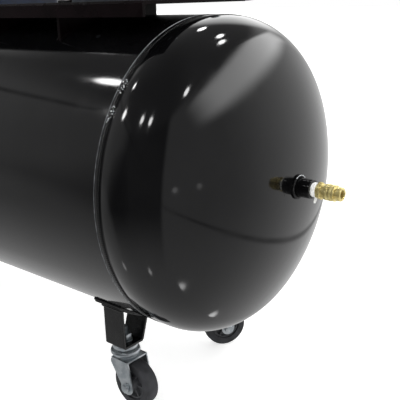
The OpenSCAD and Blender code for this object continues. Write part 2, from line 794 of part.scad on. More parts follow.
module discharge_tube() {
    z = barrel_top + plate_t + head_body / 2;
    rise = 26;
    face = head_half + seat_gap / 2;
    a = bank_point(1, -face, 0, z);
    b = bank_point(-1, face, 0, z);
    start = bank_point(-1, 0, -face, z);
    front_y = start[1] - 26;
    elbow_z = tank_top + 100;
    color([0.75, 0.5, 0.35]) {
        pipe([a, a + rise * [-cos(vee_a), 0, sin(vee_a)], b + rise * [cos(vee_a), 0, sin(vee_a)], b], 7);
        pipe([start, [start[0], front_y, start[2]], [check_x, front_y, start[2]],
            [check_x, front_y, elbow_z], [check_x, 0, elbow_z], [check_x, 0, tank_top + 44]], 7);
    }
}

module flywheel() {
    rim_r = fly_pitch_r - belt_t / 2 - 12;
    color([0.3, 0.3, 0.31]) pump_at(belt_y) {
        rotate_extrude($fn = 160) groove_profile(fly_pitch_r, fly_rim_w, rim_r);
        difference() {
            translate([0, 0, -fly_rim_w / 2]) cylinder(r = 28, h = fly_rim_w);
            translate([0, 0, -fly_rim_w]) cylinder(r = journal_r, h = 2 * fly_rim_w);
        }
        for (i = [0 : 5]) rotate([0, 0, i * 60]) translate([24, -12, -5]) rotate([25, 0, 0])
            cube([rim_r - 20, 26, 5]);
    }
}

// ---- drive ----
module belt_loop(extra) {
    hull() {
        translate([crank_x, -crank_z]) circle(r = fly_pitch_r + extra, $fn = 128);
        translate([motor_x, -motor_z]) circle(r = pulley_pitch_r + extra, $fn = 96);
    }
}

module drive_belt() {
    color([0.08, 0.08, 0.08]) translate([0, belt_y - belt_w / 2, 0]) along_y() linear_extrude(belt_w)
        difference() {
            belt_loop(belt_t / 2);
            belt_loop(-belt_t / 2);
        }
}

module guard_outline(inset) {
    hull() {
        translate([crank_x, -deck_z - guard_fly_r]) circle(r = guard_fly_r - inset, $fn = 96);
        translate([guard_nose_x, -deck_z - guard_nose_r]) circle(r = guard_nose_r - inset, $fn = 96);
    }
}

module belt_guard() {
    // rows and columns of cooling slots in the outer face
    slot_rows = 9;
    slot_columns = 9;
    color([0.06, 0.05, 0.05]) difference() {
        translate([0, guard_y0, 0]) along_y() linear_extrude(guard_y1 - guard_y0) guard_outline(0);
        translate([0, guard_y0 - over, 0]) along_y()
            linear_extrude(guard_y1 - guard_y0 - guard_t + over) guard_outline(guard_t);
        for (i = [0 : slot_columns - 1], j = [0 : slot_rows - 1])
            translate([crank_x - 90 + i * 56, guard_y1 - 5, deck_z + 50 + j * 21]) cube([44, 10, 9]);
    }
    color([0.06, 0.05, 0.05]) for (x = [crank_x - 40, motor_x - 60])
        translate([x, guard_y0, deck_z]) cube([60, 2, deck_t]);
}

// ---- tank fittings ----
module check_valve() {
    color([0.8, 0.65, 0.3]) difference() {
        translate([check_x, 0, tank_top - 8]) {
            cylinder(r = 15, h = 20);
            translate([0, 0, 20]) hex(27, 18);
            translate([0, 0, 38]) cylinder(r = 11, h = 26);
        }
        tank_space(tank_r);
        translate([check_x, 0, tank_top + 40]) cylinder(r = 7, h = 30);
    }
}

module manifold() {
    color([0.8, 0.65, 0.3]) difference() {
        union() {
            translate([manifold_x, 0, tank_top - 8]) cylinder(r = 11, h = manifold_z - tank_top + 10);
            translate([manifold_x - 25, -22, manifold_z]) cube([50, 44, 36]);
            translate([manifold_x, 0, manifold_z + 30]) cylinder(r = 11, h = switch_z - manifold_z - 30);
            translate([manifold_x + 20, 0, port_z]) along_x() cylinder(r = 9, h = 26);
            translate([manifold_x - 65, 0, port_z]) along_x() cylinder(r = 19, h = 42);
        }
        tank_space(tank_r);
        translate([manifold_x - 70, 0, port_z]) along_x() cylinder(r = 6, h = 18);
    }
}

module pressure_switch() {
    color([0.12, 0.12, 0.13]) difference() {
        union() {
            translate([manifold_x, 0, switch_z]) linear_extrude(16) rounded_rect(84, 64, 6);
            translate([manifold_x, 0, switch_z + 15]) linear_extrude(50) rounded_rect(80, 60, 9);
            translate([manifold_x, 0, switch_z + 64]) linear_extrude(10) rounded_rect(70, 50, 8);
        }
        translate([manifold_x + 18, 0, switch_z + 60]) cylinder(r = 6, h = 20);
    }
}

module switch_knob() {
    color([0.7, 0.1, 0.08]) translate([manifold_x + 18, 0, switch_z + 62]) {
        cylinder(r = 6 - run_gap, h = 22);
        translate([0, 0, 16]) cylinder(r = 13, h = 12);
    }
}

module gauge_at(y) { translate([manifold_x, y, port_z]) rotate([90, 0, 0]) children(); }

module tank_gauge() {
    color([0.75, 0.75, 0.76]) difference() {
        union() {
            gauge_at(-22) cylinder(r = 7, h = 14);
            gauge_at(-34) cylinder(r = 25, h = 18);
        }
        gauge_at(-44) cylinder(r = 22.5, h = 20);
    }
    color([0.65, 0.65, 0.66]) gauge_at(-44) cylinder(r = 1.2, h = 4);
}

module gauge_needle() {
    color([0.1, 0.1, 0.1]) gauge_at(-45.5) difference() {
        union() {
            cylinder(r = 3, h = 1);
            rotate([0, 0, 225]) translate([0, -0.8, 0]) cube([17, 1.6, 1]);
        }
        translate([0, 0, -over]) cylinder(r = 1.2 + run_gap, h = 4);
    }
}

module regulator_knob() {
    color([0.1, 0.1, 0.1]) translate([manifold_x - 65 - free_gap, 0, port_z]) rotate([0, -90, 0]) {
        difference() {
            rotate_extrude() polygon([[0, 0], [17, 0], [17, 20], [14, 24], [0, 24]]);
            for (i = [0 : 11]) rotate([0, 0, i * 30]) translate([18.4, 0, 3]) cylinder(r = 2.6, h = 30, $fn = 24);
        }
        translate([0, 0, -12]) cylinder(r = 6 - run_gap, h = 14);
    }
}

module safety_valve() {
    color([0.8, 0.65, 0.3]) translate([safety_x, 0, safety_z]) {
        rotate([0, 0, 30]) hex(20, 32);
        translate([0, 0, 32 - over]) cylinder(r = 8, h = safety_body - 32 + over);
        translate([0, 0, safety_body - over]) cylinder(r = 2, h = 12 + over);
    }
}

module safety_ring() {
    color([0.75, 0.75, 0.76]) translate([safety_x, 0, safety_z + safety_body + free_gap]) {
        difference() {
            cylinder(r = 5, h = 12.5);
            translate([0, 0, -over]) cylinder(r = 2 + run_gap, h = 12.7);
        }
        translate([0, 0, 24]) along_y() translate([0, 0, -1]) difference() {
            cylinder(r = 12, h = 2);
            translate([0, 0, -over]) cylinder(r = 9.5, h = 4);
        }
    }
}

module drain_cock() {
    color([0.8, 0.65, 0.3]) difference() {
        translate([drain_x, 0, axis_h - tank_r - 28]) {
            cylinder(r = 7, h = 34);
            translate([0, 0, 10]) hex(20, 14);
        }
        tank_space(tank_r);
        translate([drain_x, 0, axis_h - tank_r - 30]) cylinder(r = 4, h = 12);
    }
}

module drain_handle() {
    z = axis_h - tank_r - 28 - free_gap;
    color([0.8, 0.65, 0.3]) translate([drain_x, 0, z]) {
        translate([0, 0, -8]) cylinder(r = 6, h = 8);
        translate([0, 0, -over]) cylinder(r = 4 - run_gap, h = 8);
        translate([-15, -1.5, -14]) cube([30, 3, 8]);
    }
}

module unloader_tube() {
    z = tank_top + 21;
    x1 = manifold_x + 32;
    color([0.8, 0.8, 0.8]) pipe([[check_x, 13.5, z], [check_x, 24, z], [x1, 24, z], [x1, 24, switch_z]], 3);
}

// ---- outlet ----
module outlet_at(z) { translate([apex_right + z, outlet_y, axis_h]) along_x() children(); }

module coupler_body() {
    neck_l = coupler_l - hex_z - hex_l - nose_l;
    nose_r = 8.6;
    groove_z = hex_z + hex_l + 1.4;
    // the plug's socket, and the narrow passage behind it
    plug_l = 24;
    passage_r = 3;
    color([0.8, 0.62, 0.25]) difference() {
        union() {
            outlet_at(5) cylinder(r = thread_r, h = hex_z - 5);
            outlet_at(hex_z) hex(21, hex_l);
            outlet_at(hex_z + hex_l) cylinder(r = coupler_r, h = neck_l);
            outlet_at(coupler_l - nose_l) rotate_extrude() polygon([[0, 0], [nose_r - 0.9, 0],
                [nose_r - 0.9, 1.6], [nose_r, 2.4], [nose_r, nose_l - 1.1], [nose_r - 1, nose_l], [0, nose_l]]);
        }
        outlet_at(groove_z) rotate_extrude() translate([coupler_r - 0.9, 0]) square([3, 1.8]);
        outlet_at(coupler_l - plug_l) cylinder(r = coupler_bore_r, h = plug_l + over);
        outlet_at(4) cylinder(r = passage_r, h = coupler_l);
    }
}

module coupler_sleeve() {
    r = 11.3;
    dip = 0.8;
    bore = coupler_r + run_gap;
    color([0.8, 0.62, 0.25]) outlet_at(sleeve_z) rotate_extrude() polygon([[bore, 0], [r - dip, 0],
        [r - dip, 1.2], [r, 1.8], [r, 5.2], [r - dip, 5.8], [r - dip, 6.8], [r, 7.4], [r, 10.8],
        [r - dip, 11.4], [r - dip, 12.8], [r, 13.4], [r, sleeve_l - 0.6], [r - dip, sleeve_l], [bore, sleeve_l]]);
}

module seal_tape() {
    color([0.95, 0.95, 0.94]) difference() {
        union() {
            outlet_at(socket_l) cylinder(r = 10.4, h = tape_l);
            translate([apex_right + socket_l + 2, outlet_y - 0.5, axis_h - 19]) cube([3, 0.8, 10]);
        }
        outlet_at(socket_l - over) cylinder(r = thread_r, h = tape_l + 2 * over);
    }
}

tank_shell();
head_right();
head_left();
outlet_socket();
leg_saddles();
leg_brackets();
caster_stems();
fork_at(0);  // fork_front_right
fork_at(1);  // fork_rear_right
fork_at(2);  // fork_front_left
fork_at(3);  // fork_rear_left
hub_at(0);  // hub_front_right
hub_at(1);  // hub_rear_right
hub_at(2);  // hub_front_left
hub_at(3);  // hub_rear_left
tyre_at(0);  // tyre_front_right
tyre_at(1);  // tyre_rear_right
tyre_at(2);  // tyre_front_left
tyre_at(3);  // tyre_rear_left
deck_plate();
deck_webs();
deck_bolts();
motor_frame();
motor_shields();
motor_fan_cover();
motor_fan();
motor_rotor();
motor_pulley();
terminal_box();
terminal_lid();
cable_gland();
crankcase();
crankcase_cover();
oil_cap();
crankshaft();
crank_bearings();
cylinders();
cylinder_heads();
piston(1);  // piston_right
piston(-1);  // piston_left
air_filters();
discharge_tube();
flywheel();
drive_belt();
belt_guard();
check_valve();
manifold();
pressure_switch();
switch_knob();
tank_gauge();
gauge_needle();
regulator_knob();
safety_valve();
safety_ring();
drain_cock();
drain_handle();
unloader_tube();
coupler_body();
coupler_sleeve();
seal_tape();
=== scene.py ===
"""The looks of a belt-driven air compressor on a horizontal tank with four swivel casters.

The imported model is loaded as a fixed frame, every visible piece is built or finished around it, and a
plain studio with one camera is set up. Lengths are in metres, except where a name ends in _mm.
"""

from __future__ import annotations

import logging
import math
from dataclasses import dataclass
from enum import Enum
from typing import Callable, Iterable, Sequence

import bmesh
import bpy
from mathutils import Matrix, Vector


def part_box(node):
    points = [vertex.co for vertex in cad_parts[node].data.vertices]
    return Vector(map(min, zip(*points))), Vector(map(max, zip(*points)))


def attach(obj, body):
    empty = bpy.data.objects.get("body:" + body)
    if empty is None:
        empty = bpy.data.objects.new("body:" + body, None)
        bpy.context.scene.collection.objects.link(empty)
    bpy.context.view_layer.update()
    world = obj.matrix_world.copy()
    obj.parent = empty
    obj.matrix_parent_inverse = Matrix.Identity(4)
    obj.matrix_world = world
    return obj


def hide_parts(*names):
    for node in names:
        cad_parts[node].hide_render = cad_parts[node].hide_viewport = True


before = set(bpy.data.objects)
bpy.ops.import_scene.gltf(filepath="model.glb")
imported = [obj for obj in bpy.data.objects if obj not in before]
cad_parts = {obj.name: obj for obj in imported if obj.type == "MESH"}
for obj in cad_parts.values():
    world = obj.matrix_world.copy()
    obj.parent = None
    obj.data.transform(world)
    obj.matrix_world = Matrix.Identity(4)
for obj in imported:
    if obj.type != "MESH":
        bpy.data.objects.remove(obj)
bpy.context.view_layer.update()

LOG = logging.getLogger("compressor")
MM = 0.001
POLE = 1e-7
FIXED = "frame"
CORNERS = ("front_right", "rear_right", "front_left", "rear_left")
AT_ORIGIN = Matrix.Identity(4)

BMesh = bmesh.types.BMesh
Mesh = bpy.types.Mesh
Object = bpy.types.Object
Socket = bpy.types.NodeSocket
Tree = bpy.types.NodeTree
Point = tuple[float, float]
Shape = Callable[[float, float, float], float]


class Axis(Enum):
    """The direction that a turned piece's own axis takes."""

    ALONG = Vector((1.0, 0.0, 0.0))
    BACK = Vector((-1.0, 0.0, 0.0))
    ACROSS = Vector((0.0, 1.0, 0.0))
    FORWARD = Vector((0.0, -1.0, 0.0))


# ---------------------------------------------------------------- finishes


def linear(hex_colour: str) -> tuple[float, float, float, float]:
    """Turns an sRGB hex colour into linear RGBA.

    Args:
        hex_colour: six hex digits after a hash.

    Returns:
        The colour as four linear numbers, the last one being 1.
    """
    digits = hex_colour.lstrip("#")
    values = [int(digits[i : i + 2], 16) / 255 for i in (0, 2, 4)]
    light = [v / 12.92 if v <= 0.04045 else ((v + 0.055) / 1.055) ** 2.4 for v in values]
    return (light[0], light[1], light[2], 1.0)


def add_node(tree: Tree, kind: str, settings: dict | None = None,
             inputs: dict | None = None) -> bpy.types.Node:
    """Adds one node, sets its properties, and sets or links its inputs.

    Args:
        tree: the node tree that gets the node.
        kind: the node's type name.
        settings: property names and values.
        inputs: input names or numbers, each with a value or with a socket to link from.

    Returns:
        The new node.
    """
    node = tree.nodes.new(kind)
    for name, value in (settings or {}).items():
        setattr(node, name, value)
    for name, value in (inputs or {}).items():
        if isinstance(value, Socket):
            tree.links.new(value, node.inputs[name])
        else:
            node.inputs[name].default_value = value
    return node


@dataclass(frozen=True)
class Finish:
    """A surface made of one base material with mottling, uneven gloss and a grain.

    Each pattern's size is in millimetres, and a depth is a share of its pattern's size. Subclasses add
    the marks of how the surface was made.
    """

    name: str
    light: str
    dark: str
    metallic: float = 0.0
    rough: Point = (0.3, 0.4)
    mottle_mm: float = 30.0
    grain_mm: float = 1.0
    grain: float = 0.1
    wave_mm: float = 0.0
    wave: float = 0.0
    coat: float = 0.0
    ior: float = 1.5

    def material(self) -> bpy.types.Material:
        """Builds the material at its first use, and hands out the same one afterwards.

        Returns:
            The finish's material.
        """
        known = bpy.data.materials.get(self.name)
        if known is not None:
            return known
        made = bpy.data.materials.new(self.name)
        made.use_nodes = True
        tree = made.node_tree
        tree.nodes.clear()
        where = add_node(tree, "ShaderNodeTexCoord").outputs["Object"]
        colour = add_node(tree, "ShaderNodeMix", {"data_type": "RGBA"}, {
            0: self.paleness(tree, where), 6: linear(self.dark), 7: linear(self.light)})
        shader = add_node(tree, "ShaderNodeBsdfPrincipled", None, {
            "Base Color": colour.outputs[2],
            "Roughness": self.uneven(tree, where, self.mottle_mm / 2, *self.rough),
            "Normal": self.relief(tree, where),
            "Metallic": self.metallic,
            "IOR": self.ior,
            "Coat Weight": self.coat,
            "Coat Roughness": 0.04,
        })
        add_node(tree, "ShaderNodeOutputMaterial", None, {"Surface": shader.outputs[0]})
        made.diffuse_color = linear(self.light)
        return made

    def uneven(self, tree: Tree, where: Socket, size_mm: float, low: float, high: float) -> Socket:
        """Spreads the middle of a noise over a range.

        Args:
            tree: the material's node tree.
            where: the coordinates.
            size_mm: about how large the noise's patches are.
            low: the range's lower end.
            high: the range's upper end.

        Returns:
            The uneven value.
        """
        noise = add_node(tree, "ShaderNodeTexNoise", None, {
            "Vector": where, "Scale": 1000.0 / size_mm, "Detail": 3.0, "Roughness": 0.55})
        return add_node(tree, "ShaderNodeMapRange", {"interpolation_type": "SMOOTHSTEP"}, {
            "Value": noise.outputs["Fac"], "From Min": 0.36, "From Max": 0.64, "To Min": low, "To Max": high,
        }).outputs["Result"]

    def paleness(self, tree: Tree, where: Socket) -> Socket:
        """Returns how far the colour goes from the dark tone to the light one."""
        return self.uneven(tree, where, self.mottle_mm, 0.0, 1.0)

    def layers(self, tree: Tree, where: Socket) -> list[tuple[Socket, float]]:
        """Lists what the relief is made of: the long wave, where there is one, and the fine grain.

        Args:
            tree: the material's node tree.
            where: the coordinates.

        Returns:
            Each layer's height from 0 to 1, with its depth in metres.
        """
        found = []
        for size_mm, depth in ((self.wave_mm, self.wave), (self.grain_mm, self.grain)):
            if depth > 0:
                noise = add_node(tree, "ShaderNodeTexNoise", None, {
                    "Vector": where, "Scale": 1000.0 / size_mm, "Detail": 2.0, "Roughness": 0.55})
                found.append((noise.outputs["Fac"], depth * size_mm * MM))
        return found

    def relief(self, tree: Tree, where: Socket) -> Socket:
        """Lays the relief's layers over each other.

        Args:
            tree: the material's node tree.
            where: the coordinates.

        Returns:
            The surface's normal.
        """
        under = {}
        for height, depth in self.layers(tree, where):
            bump = add_node(tree, "ShaderNodeBump", None, {
                "Height": height, "Strength": 1.0, "Distance": depth, **under})
            under = {"Normal": bump.outputs["Normal"]}
        return under["Normal"]


@dataclass(frozen=True)
class TurnedFinish(Finish):
    """Metal from a lathe: fine rings along one axis of the frame.

    Real tool rings lie about 0.1 mm apart, so they are drawn several times coarser for them to show.
    """

    axis: str = "X"
    ring_mm: float = 0.6
    ring: float = 0.03

    def layers(self, tree: Tree, where: Socket) -> list[tuple[Socket, float]]:
        """Adds the tool's rings to the relief's layers.

        Args:
            tree: the material's node tree.
            where: the coordinates.

        Returns:
            Each layer's height from 0 to 1, with its depth in metres.
        """
        rings = add_node(tree, "ShaderNodeTexWave", {"wave_type": "BANDS", "bands_direction": self.axis}, {
            "Vector": where, "Scale": 1000.0 / self.ring_mm / 20, "Distortion": 0.4,
        })
        return [*super().layers(tree, where), (rings.outputs["Fac"], self.ring * self.ring_mm * MM)]


@dataclass(frozen=True)
class PlatedFinish(Finish):
    """Zinc plating: crystals of slightly different tone, with a dull bloom in places."""

    crystal_mm: float = 3.0
    crystal_share: float = 0.22

    def paleness(self, tree: Tree, where: Socket) -> Socket:
        """Mixes the crystals' tones with the slow bloom.

        Args:
            tree: the material's node tree.
            where: the coordinates.

        Returns:
            How far the colour goes from the dark tone to the light one.
        """
        cells = add_node(tree, "ShaderNodeTexVoronoi", None, {
            "Vector": where, "Scale": 1000.0 / self.crystal_mm}).outputs["Color"]
        tone = add_node(tree, "ShaderNodeSeparateColor", None, {"Color": cells}).outputs[0]
        bloom = self.uneven(tree, where, self.mottle_mm, 0.0, 1.0 - self.crystal_share)
        return add_node(tree, "ShaderNodeMath", {"operation": "MULTIPLY_ADD"}, {
            0: tone, 1: self.crystal_share, 2: bloom}).outputs[0]


@dataclass(frozen=True)
class StudioFinish(Finish):
    """Matt studio paper, which looks brighter to the camera than to the pieces that stand on it."""

    glow: float = 0.62

    def material(self) -> bpy.types.Material:
        """Builds the paper's material, for its one piece.

        Returns:
            The paper's material.
        """
        made = super().material()
        tree = made.node_tree
        seen = add_node(tree, "ShaderNodeLightPath").outputs["Is Camera Ray"]
        glow = add_node(tree, "ShaderNodeMath", {"operation": "MULTIPLY"}, {0: seen, 1: self.glow})
        shader = next(node for node in tree.nodes if node.type == "BSDF_PRINCIPLED")
        shader.inputs["Emission Color"].default_value = linear("#ffffff")
        tree.links.new(glow.outputs[0], shader.inputs["Emission Strength"])
        return made


# Sprayed black enamel on steel plate: deep and wet looking, with the plate's slow waves under it.
TANK_ENAMEL = Finish("black_tank_enamel", "#0b0b0c", "#070708", 0.0, (0.06, 0.1), 90, 3.0, 0.0022,
                     160, 0.0022, ior=1.42)
# The same enamel on pressed and welded brackets: rougher, with dry overspray.
BRACKET_ENAMEL = Finish("black_bracket_enamel", "#111112", "#0a0a0b", 0.0, (0.2, 0.36), 18, 2.4, 0.012,
                        26, 0.006, ior=1.42)
# Thin matt enamel on the deck and the guard: the black leans to red and mirrors little.
DECK_ENAMEL = Finish("black_deck_enamel", "#0d0608", "#080405", 0.0, (0.24, 0.38), 40, 2.0, 0.012,
                     60, 0.004, ior=1.14)
# Bright zinc plating on pressed steel: pale blue grey, blotchy and half shiny.
ZINC = PlatedFinish("bright_zinc_plate", "#c6cbce", "#9fa7ad", 0.94, (0.3, 0.42), 14, 1.2, 0.008,
                    18, 0.006)
# Dry grey solid rubber of the tyres: no shine and a fine mould grain.
RUBBER = Finish("grey_tyre_rubber", "#35363a", "#26272a", 0.0, (0.62, 0.8), 12, 0.9, 0.05)
# Black V-belt rubber with cloth wrap: matt with a coarse grain.
BELT_RUBBER = Finish("black_belt_rubber", "#1c1c1d", "#111112", 0.0, (0.6, 0.75), 8, 0.8, 0.08)
# Grey nylon wheel hub: moulded, slightly waxy.
HUB_NYLON = Finish("grey_hub_nylon", "#4a4b4e", "#3d3e41", 0.0, (0.4, 0.52), 14, 1.4, 0.01)
# Sand cast iron under dark blue machine enamel: the casting's grain shows through.
CAST_ENAMEL = Finish("blue_casting_enamel", "#1b2c48", "#142239", 0.0, (0.28, 0.42), 25, 2.2, 0.035,
                     30, 0.01, 0.1)
# Dark grey enamel on the motor's cast frame.
MOTOR_ENAMEL = Finish("grey_motor_enamel", "#3a434b", "#2c343b", 0.0, (0.3, 0.44), 22, 1.8, 0.025,
                      30, 0.008, 0.05)
# Bare sand cast aluminium of the heads: pale, dull and grainy.
CAST_ALUMINIUM = Finish("cast_aluminium", "#b4b6b8", "#94979a", 0.9, (0.42, 0.58), 10, 1.2, 0.05)
# Grey cast iron with turned faces: dark and faintly oiled.
CAST_IRON = TurnedFinish("grey_cast_iron", "#6d6e70", "#4d4e51", 0.85, (0.34, 0.5), 12, 1.0, 0.03,
                         axis="Y", ring_mm=0.9, ring=0.02)
# Ground and oiled steel of shafts and bearings: bright, with fine even marks.
GROUND_STEEL = TurnedFinish("ground_steel", "#b9bbbe", "#8f9296", 1.0, (0.2, 0.32), 14, 0.8, 0.01,
                            axis="Y", ring_mm=0.5, ring=0.02)
# Turned brass from a bar, bright and lightly handled.
BRASS = TurnedFinish("turned_brass", "#efe0a0", "#d6c37f", 0.74, (0.26, 0.4), 7, 0.7, 0.008,
                     axis="X", ring_mm=0.7, ring=0.012)
# Weld metal painted near white: painted glints on the welds, bright and rough.
PAINTED_GLINT_WELD = Finish("bare_weld_metal", "#f4f6f8", "#c4c8cc", 0.5, (0.14, 0.3), 5, 0.8, 0.02)
# The shell's cut edge, where the enamel is thin and worn: a fine pale line that is also a painted highlight.
WORN_EDGE_HIGHLIGHT = Finish("worn_enamel_edge", "#7d7f82", "#55575a", 0.4, (0.25, 0.4), 9, 1.0, 0.02)
# Drawn copper tube, a little browned by heat.
COPPER = Finish("drawn_copper", "#d08a63", "#8e5438", 1.0, (0.22, 0.38), 16, 0.8, 0.01)
# Black ABS covers, finely spark eroded.
BLACK_ABS = Finish("black_abs", "#1d1d1f", "#161618", 0.0, (0.38, 0.5), 18, 0.7, 0.04)
# Red ABS of the pull knob, glossy.
RED_ABS = Finish("red_abs", "#c0231b", "#a41b15", 0.0, (0.2, 0.3), 12, 1.0, 0.008)
# Unsintered thread tape: chalk white, with fine stretch creases.
THREAD_TAPE = Finish("thread_tape", "#f6f6f3", "#e2e3e0", 0.0, (0.5, 0.66), 3, 0.7, 0.12)
# Clear air tube of polyurethane: milky and smooth.
AIR_TUBE = Finish("milky_air_tube", "#d7dbdd", "#c3c8cb", 0.0, (0.2, 0.3), 12, 1.0, 0.01)
# White enamelled dial card.
DIAL_CARD = Finish("white_dial_card", "#f2f1ec", "#e8e7e1", 0.0, (0.35, 0.45), 10, 0.6, 0.01)
# Seamless studio paper: pale, matt and even.
STUDIO_PAPER = StudioFinish("pale_studio_floor", "#f4f4f3", "#efefee", 0.0, (0.7, 0.8), 400, 3.0, 0.002)


# ---------------------------------------------------------------- shapes


def placed(origin: Sequence[float], axis: Axis) -> Matrix:
    """Returns the matrix that puts a shape's own Z axis on an axis through a point."""
    return Matrix.Translation(Vector(origin)) @ axis.value.to_track_quat("Z", "Y").to_matrix().to_4x4()


def middle(node: str) -> Vector:
    """Returns the middle of a CAD node's box."""
    low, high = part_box(node)
    return (low + high) / 2


def circle(radius: float, height: float, place: Matrix, count: int, start_deg: float = 0.0,
           step_deg: float | None = None) -> list[Vector]:
    """Works out points round the Z axis of a matrix.

    Args:
        radius: the circle's radius.
        height: how far up the axis the circle lies.
        place: the matrix.
        count: how many points there are.
        start_deg: the first point's angle.
        step_deg: the angle from point to point, or None for a full turn.

    Returns:
        The points in the frame's coordinates.
    """
    step = 2 * math.pi / count if step_deg is None else math.radians(step_deg)
    angles = [math.radians(start_deg) + step * i for i in range(count)]
    return [place @ Vector((radius * math.cos(a), radius * math.sin(a), height)) for a in angles]


def arc(centre: Point, radii: Point, start_deg: float, end_deg: float, steps: int) -> list[Point]:
    """Works out the points of an arc in a profile.

    Args:
        centre: the arc's centre.
        radii: its radius sideways and upwards.
        start_deg: the first point's angle.
        end_deg: the last point's angle.
        steps: how many pieces the arc has.

    Returns:
        The points, with both ends.
    """
    angles = [math.radians(start_deg + (end_deg - start_deg) * i / steps) for i in range(steps + 1)]
    return [(centre[0] + radii[0] * math.cos(a), centre[1] + radii[1] * math.sin(a)) for a in angles]


def lathe(bm: BMesh, profile: Iterable[Point], matrix: Matrix, segments: int = 64, closed: bool = False,
          shape: Shape | None = None) -> None:
    """Turns a profile round the Z axis of matrix.

    Args:
        bm: the mesh that gets the surface.
        profile: pairs of radius and height. A pair with no radius becomes a single pole.
        matrix: where the turned shape goes.
        segments: how many steps one turn has.
        closed: joins the last pair to the first, for a ring.
        shape: gives the radius at an angle, a height and a plain radius.
    """
    rows = []
    for radius, height in profile:
        if radius < POLE:
            rows.append([bm.verts.new(matrix @ Vector((0.0, 0.0, height)))])
            continue
        row = []
        for i in range(segments):
            angle = 2 * math.pi * i / segments
            r = shape(angle, height, radius) if shape else radius
            row.append(bm.verts.new(matrix @ Vector((r * math.cos(angle), r * math.sin(angle), height))))
        rows.append(row)
    pairs = list(zip(rows, rows[1:]))
    if closed:
        pairs.append((rows[-1], rows[0]))
    for low, high in pairs:
        for i in range(segments):
            j = (i + 1) % segments
            corners = [low[i % len(low)], low[j % len(low)], high[j % len(high)], high[i % len(high)]]
            unique = list(dict.fromkeys(corners))
            if len(unique) > 2:
                bm.faces.new(unique)


def block(bm: BMesh, low: Sequence[float], high: Sequence[float], place: Matrix = AT_ORIGIN) -> None:
    """Adds a plain box.

    Args:
        bm: the mesh that gets the box.
        low: its lowest corner.
        high: its highest corner.
        place: a matrix that moves it.
    """
    size = [high[i] - low[i] for i in range(3)]
    centre = [(high[i] + low[i]) / 2 for i in range(3)]
    scale = Matrix.Diagonal((size[0], size[1], size[2], 1.0))
    bmesh.ops.create_cube(bm, size=1.0, matrix=place @ Matrix.Translation(centre) @ scale)


def rounded(points: Sequence[Point], radius: float, steps: int = 4) -> list[Point]:
    """Rounds the inner corners of an open profile.

    Args:
        points: the profile's corners.
        radius: the rounding, cut back where a side is short.
        steps: how many pieces each rounding has.

    Returns:
        The profile with a bend in place of each corner.
    """
    result = [points[0]]
    for before, corner, after in zip(points, points[1:], points[2:]):
        a, b, c = Vector(before), Vector(corner), Vector(after)
        cut = min(radius, (a - b).length * 0.45, (c - b).length * 0.45)
        start = b + (a - b).normalized() * cut
        end = b + (c - b).normalized() * cut
        for i in range(steps + 1):
            t = i / steps
            p = start * (1 - t) ** 2 + b * 2 * t * (1 - t) + end * t * t
            result.append((p.x, p.y))
    result.append(points[-1])
    return result


def hexagon(across_flats: float) -> Shape:
    """Makes a shape for lathe(): a hexagon that a turned profile chamfers.

    Args:
        across_flats: the hexagon's size over two flats.

    Returns:
        The shape.
    """

    def radius(angle: float, _height: float, plain: float) -> float:
        """Returns the smaller of the hexagon's radius and the turned one."""
        turn = (angle + math.pi / 6) % (math.pi / 3) - math.pi / 6
        return min(plain, across_flats / 2 / math.cos(turn))

    return radius


def hex_profile(across_flats: float, height: float) -> list[Point]:
    """Works out a hex head's profile, with its corners turned off at both ends.

    Args:
        across_flats: the head's size over two flats.
        height: its height.

    Returns:
        Pairs of radius and height.
    """
    corner = across_flats / math.sqrt(3)
    inner = across_flats * 0.47
    drop = (corner - inner) * 0.5
    return [(0, 0), (inner, 0), (corner, drop), (corner, height - drop), (inner, height), (0, height)]


def shaded(mesh: Mesh, smooth_deg: float) -> Mesh:
    """Returns the mesh, shaded smooth but for the edges sharper than an angle."""
    mesh.shade_smooth()
    mesh.set_sharp_from_angle(angle=math.radians(smooth_deg))
    return mesh


def finished_mesh(bm: BMesh, name: str, smooth_deg: float = 35.0, turn_out: bool = True) -> Mesh:
    """Closes a mesh in code: merges doubles, turns faces outwards and shades it smooth by angle.

    Args:
        bm: the mesh in code, which is freed.
        name: the name of the result.
        smooth_deg: edges sharper than this stay sharp.
        turn_out: recalculates which way the faces point.

    Returns:
        The finished mesh.
    """
    bmesh.ops.remove_doubles(bm, verts=bm.verts, dist=1e-6)
    if turn_out:
        bmesh.ops.recalc_face_normals(bm, faces=bm.faces)
    mesh = bpy.data.meshes.new(name)
    bm.to_mesh(mesh)
    bm.free()
    return shaded(mesh, smooth_deg)


def joined(meshes: Sequence[Mesh], name: str, smooth_deg: float = 35.0) -> Mesh:
    """Joins plain meshes into one, keeps their faces as they are, and shades it smooth by angle.

    Args:
        meshes: the meshes.
        name: the name of the result.
        smooth_deg: edges sharper than this stay sharp.

    Returns:
        The joined mesh.
    """
    bm = bmesh.new()
    for mesh in meshes:
        bm.from_mesh(mesh)
    whole = bpy.data.meshes.new(name)
    bm.to_mesh(whole)
    bm.free()
    return shaded(whole, smooth_deg)


def turned(name: str, profile: Iterable[Point], place: Matrix, segments: int, smooth_deg: float = 35.0,
           closed: bool = True, shape: Shape | None = None) -> Mesh:
    """Makes a finished mesh of one turned profile.

    Args:
        name: the mesh's name.
        profile: pairs of radius and height.
        place: where the turned shape goes.
        segments: how many steps one turn has.
        smooth_deg: edges sharper than this stay sharp.
        closed: joins the last pair to the first, for a ring.
        shape: gives the radius at an angle, a height and a plain radius.

    Returns:
        The finished mesh.
    """
    bm = bmesh.new()
    lathe(bm, profile, place, segments, closed, shape)
    return finished_mesh(bm, name, smooth_deg)


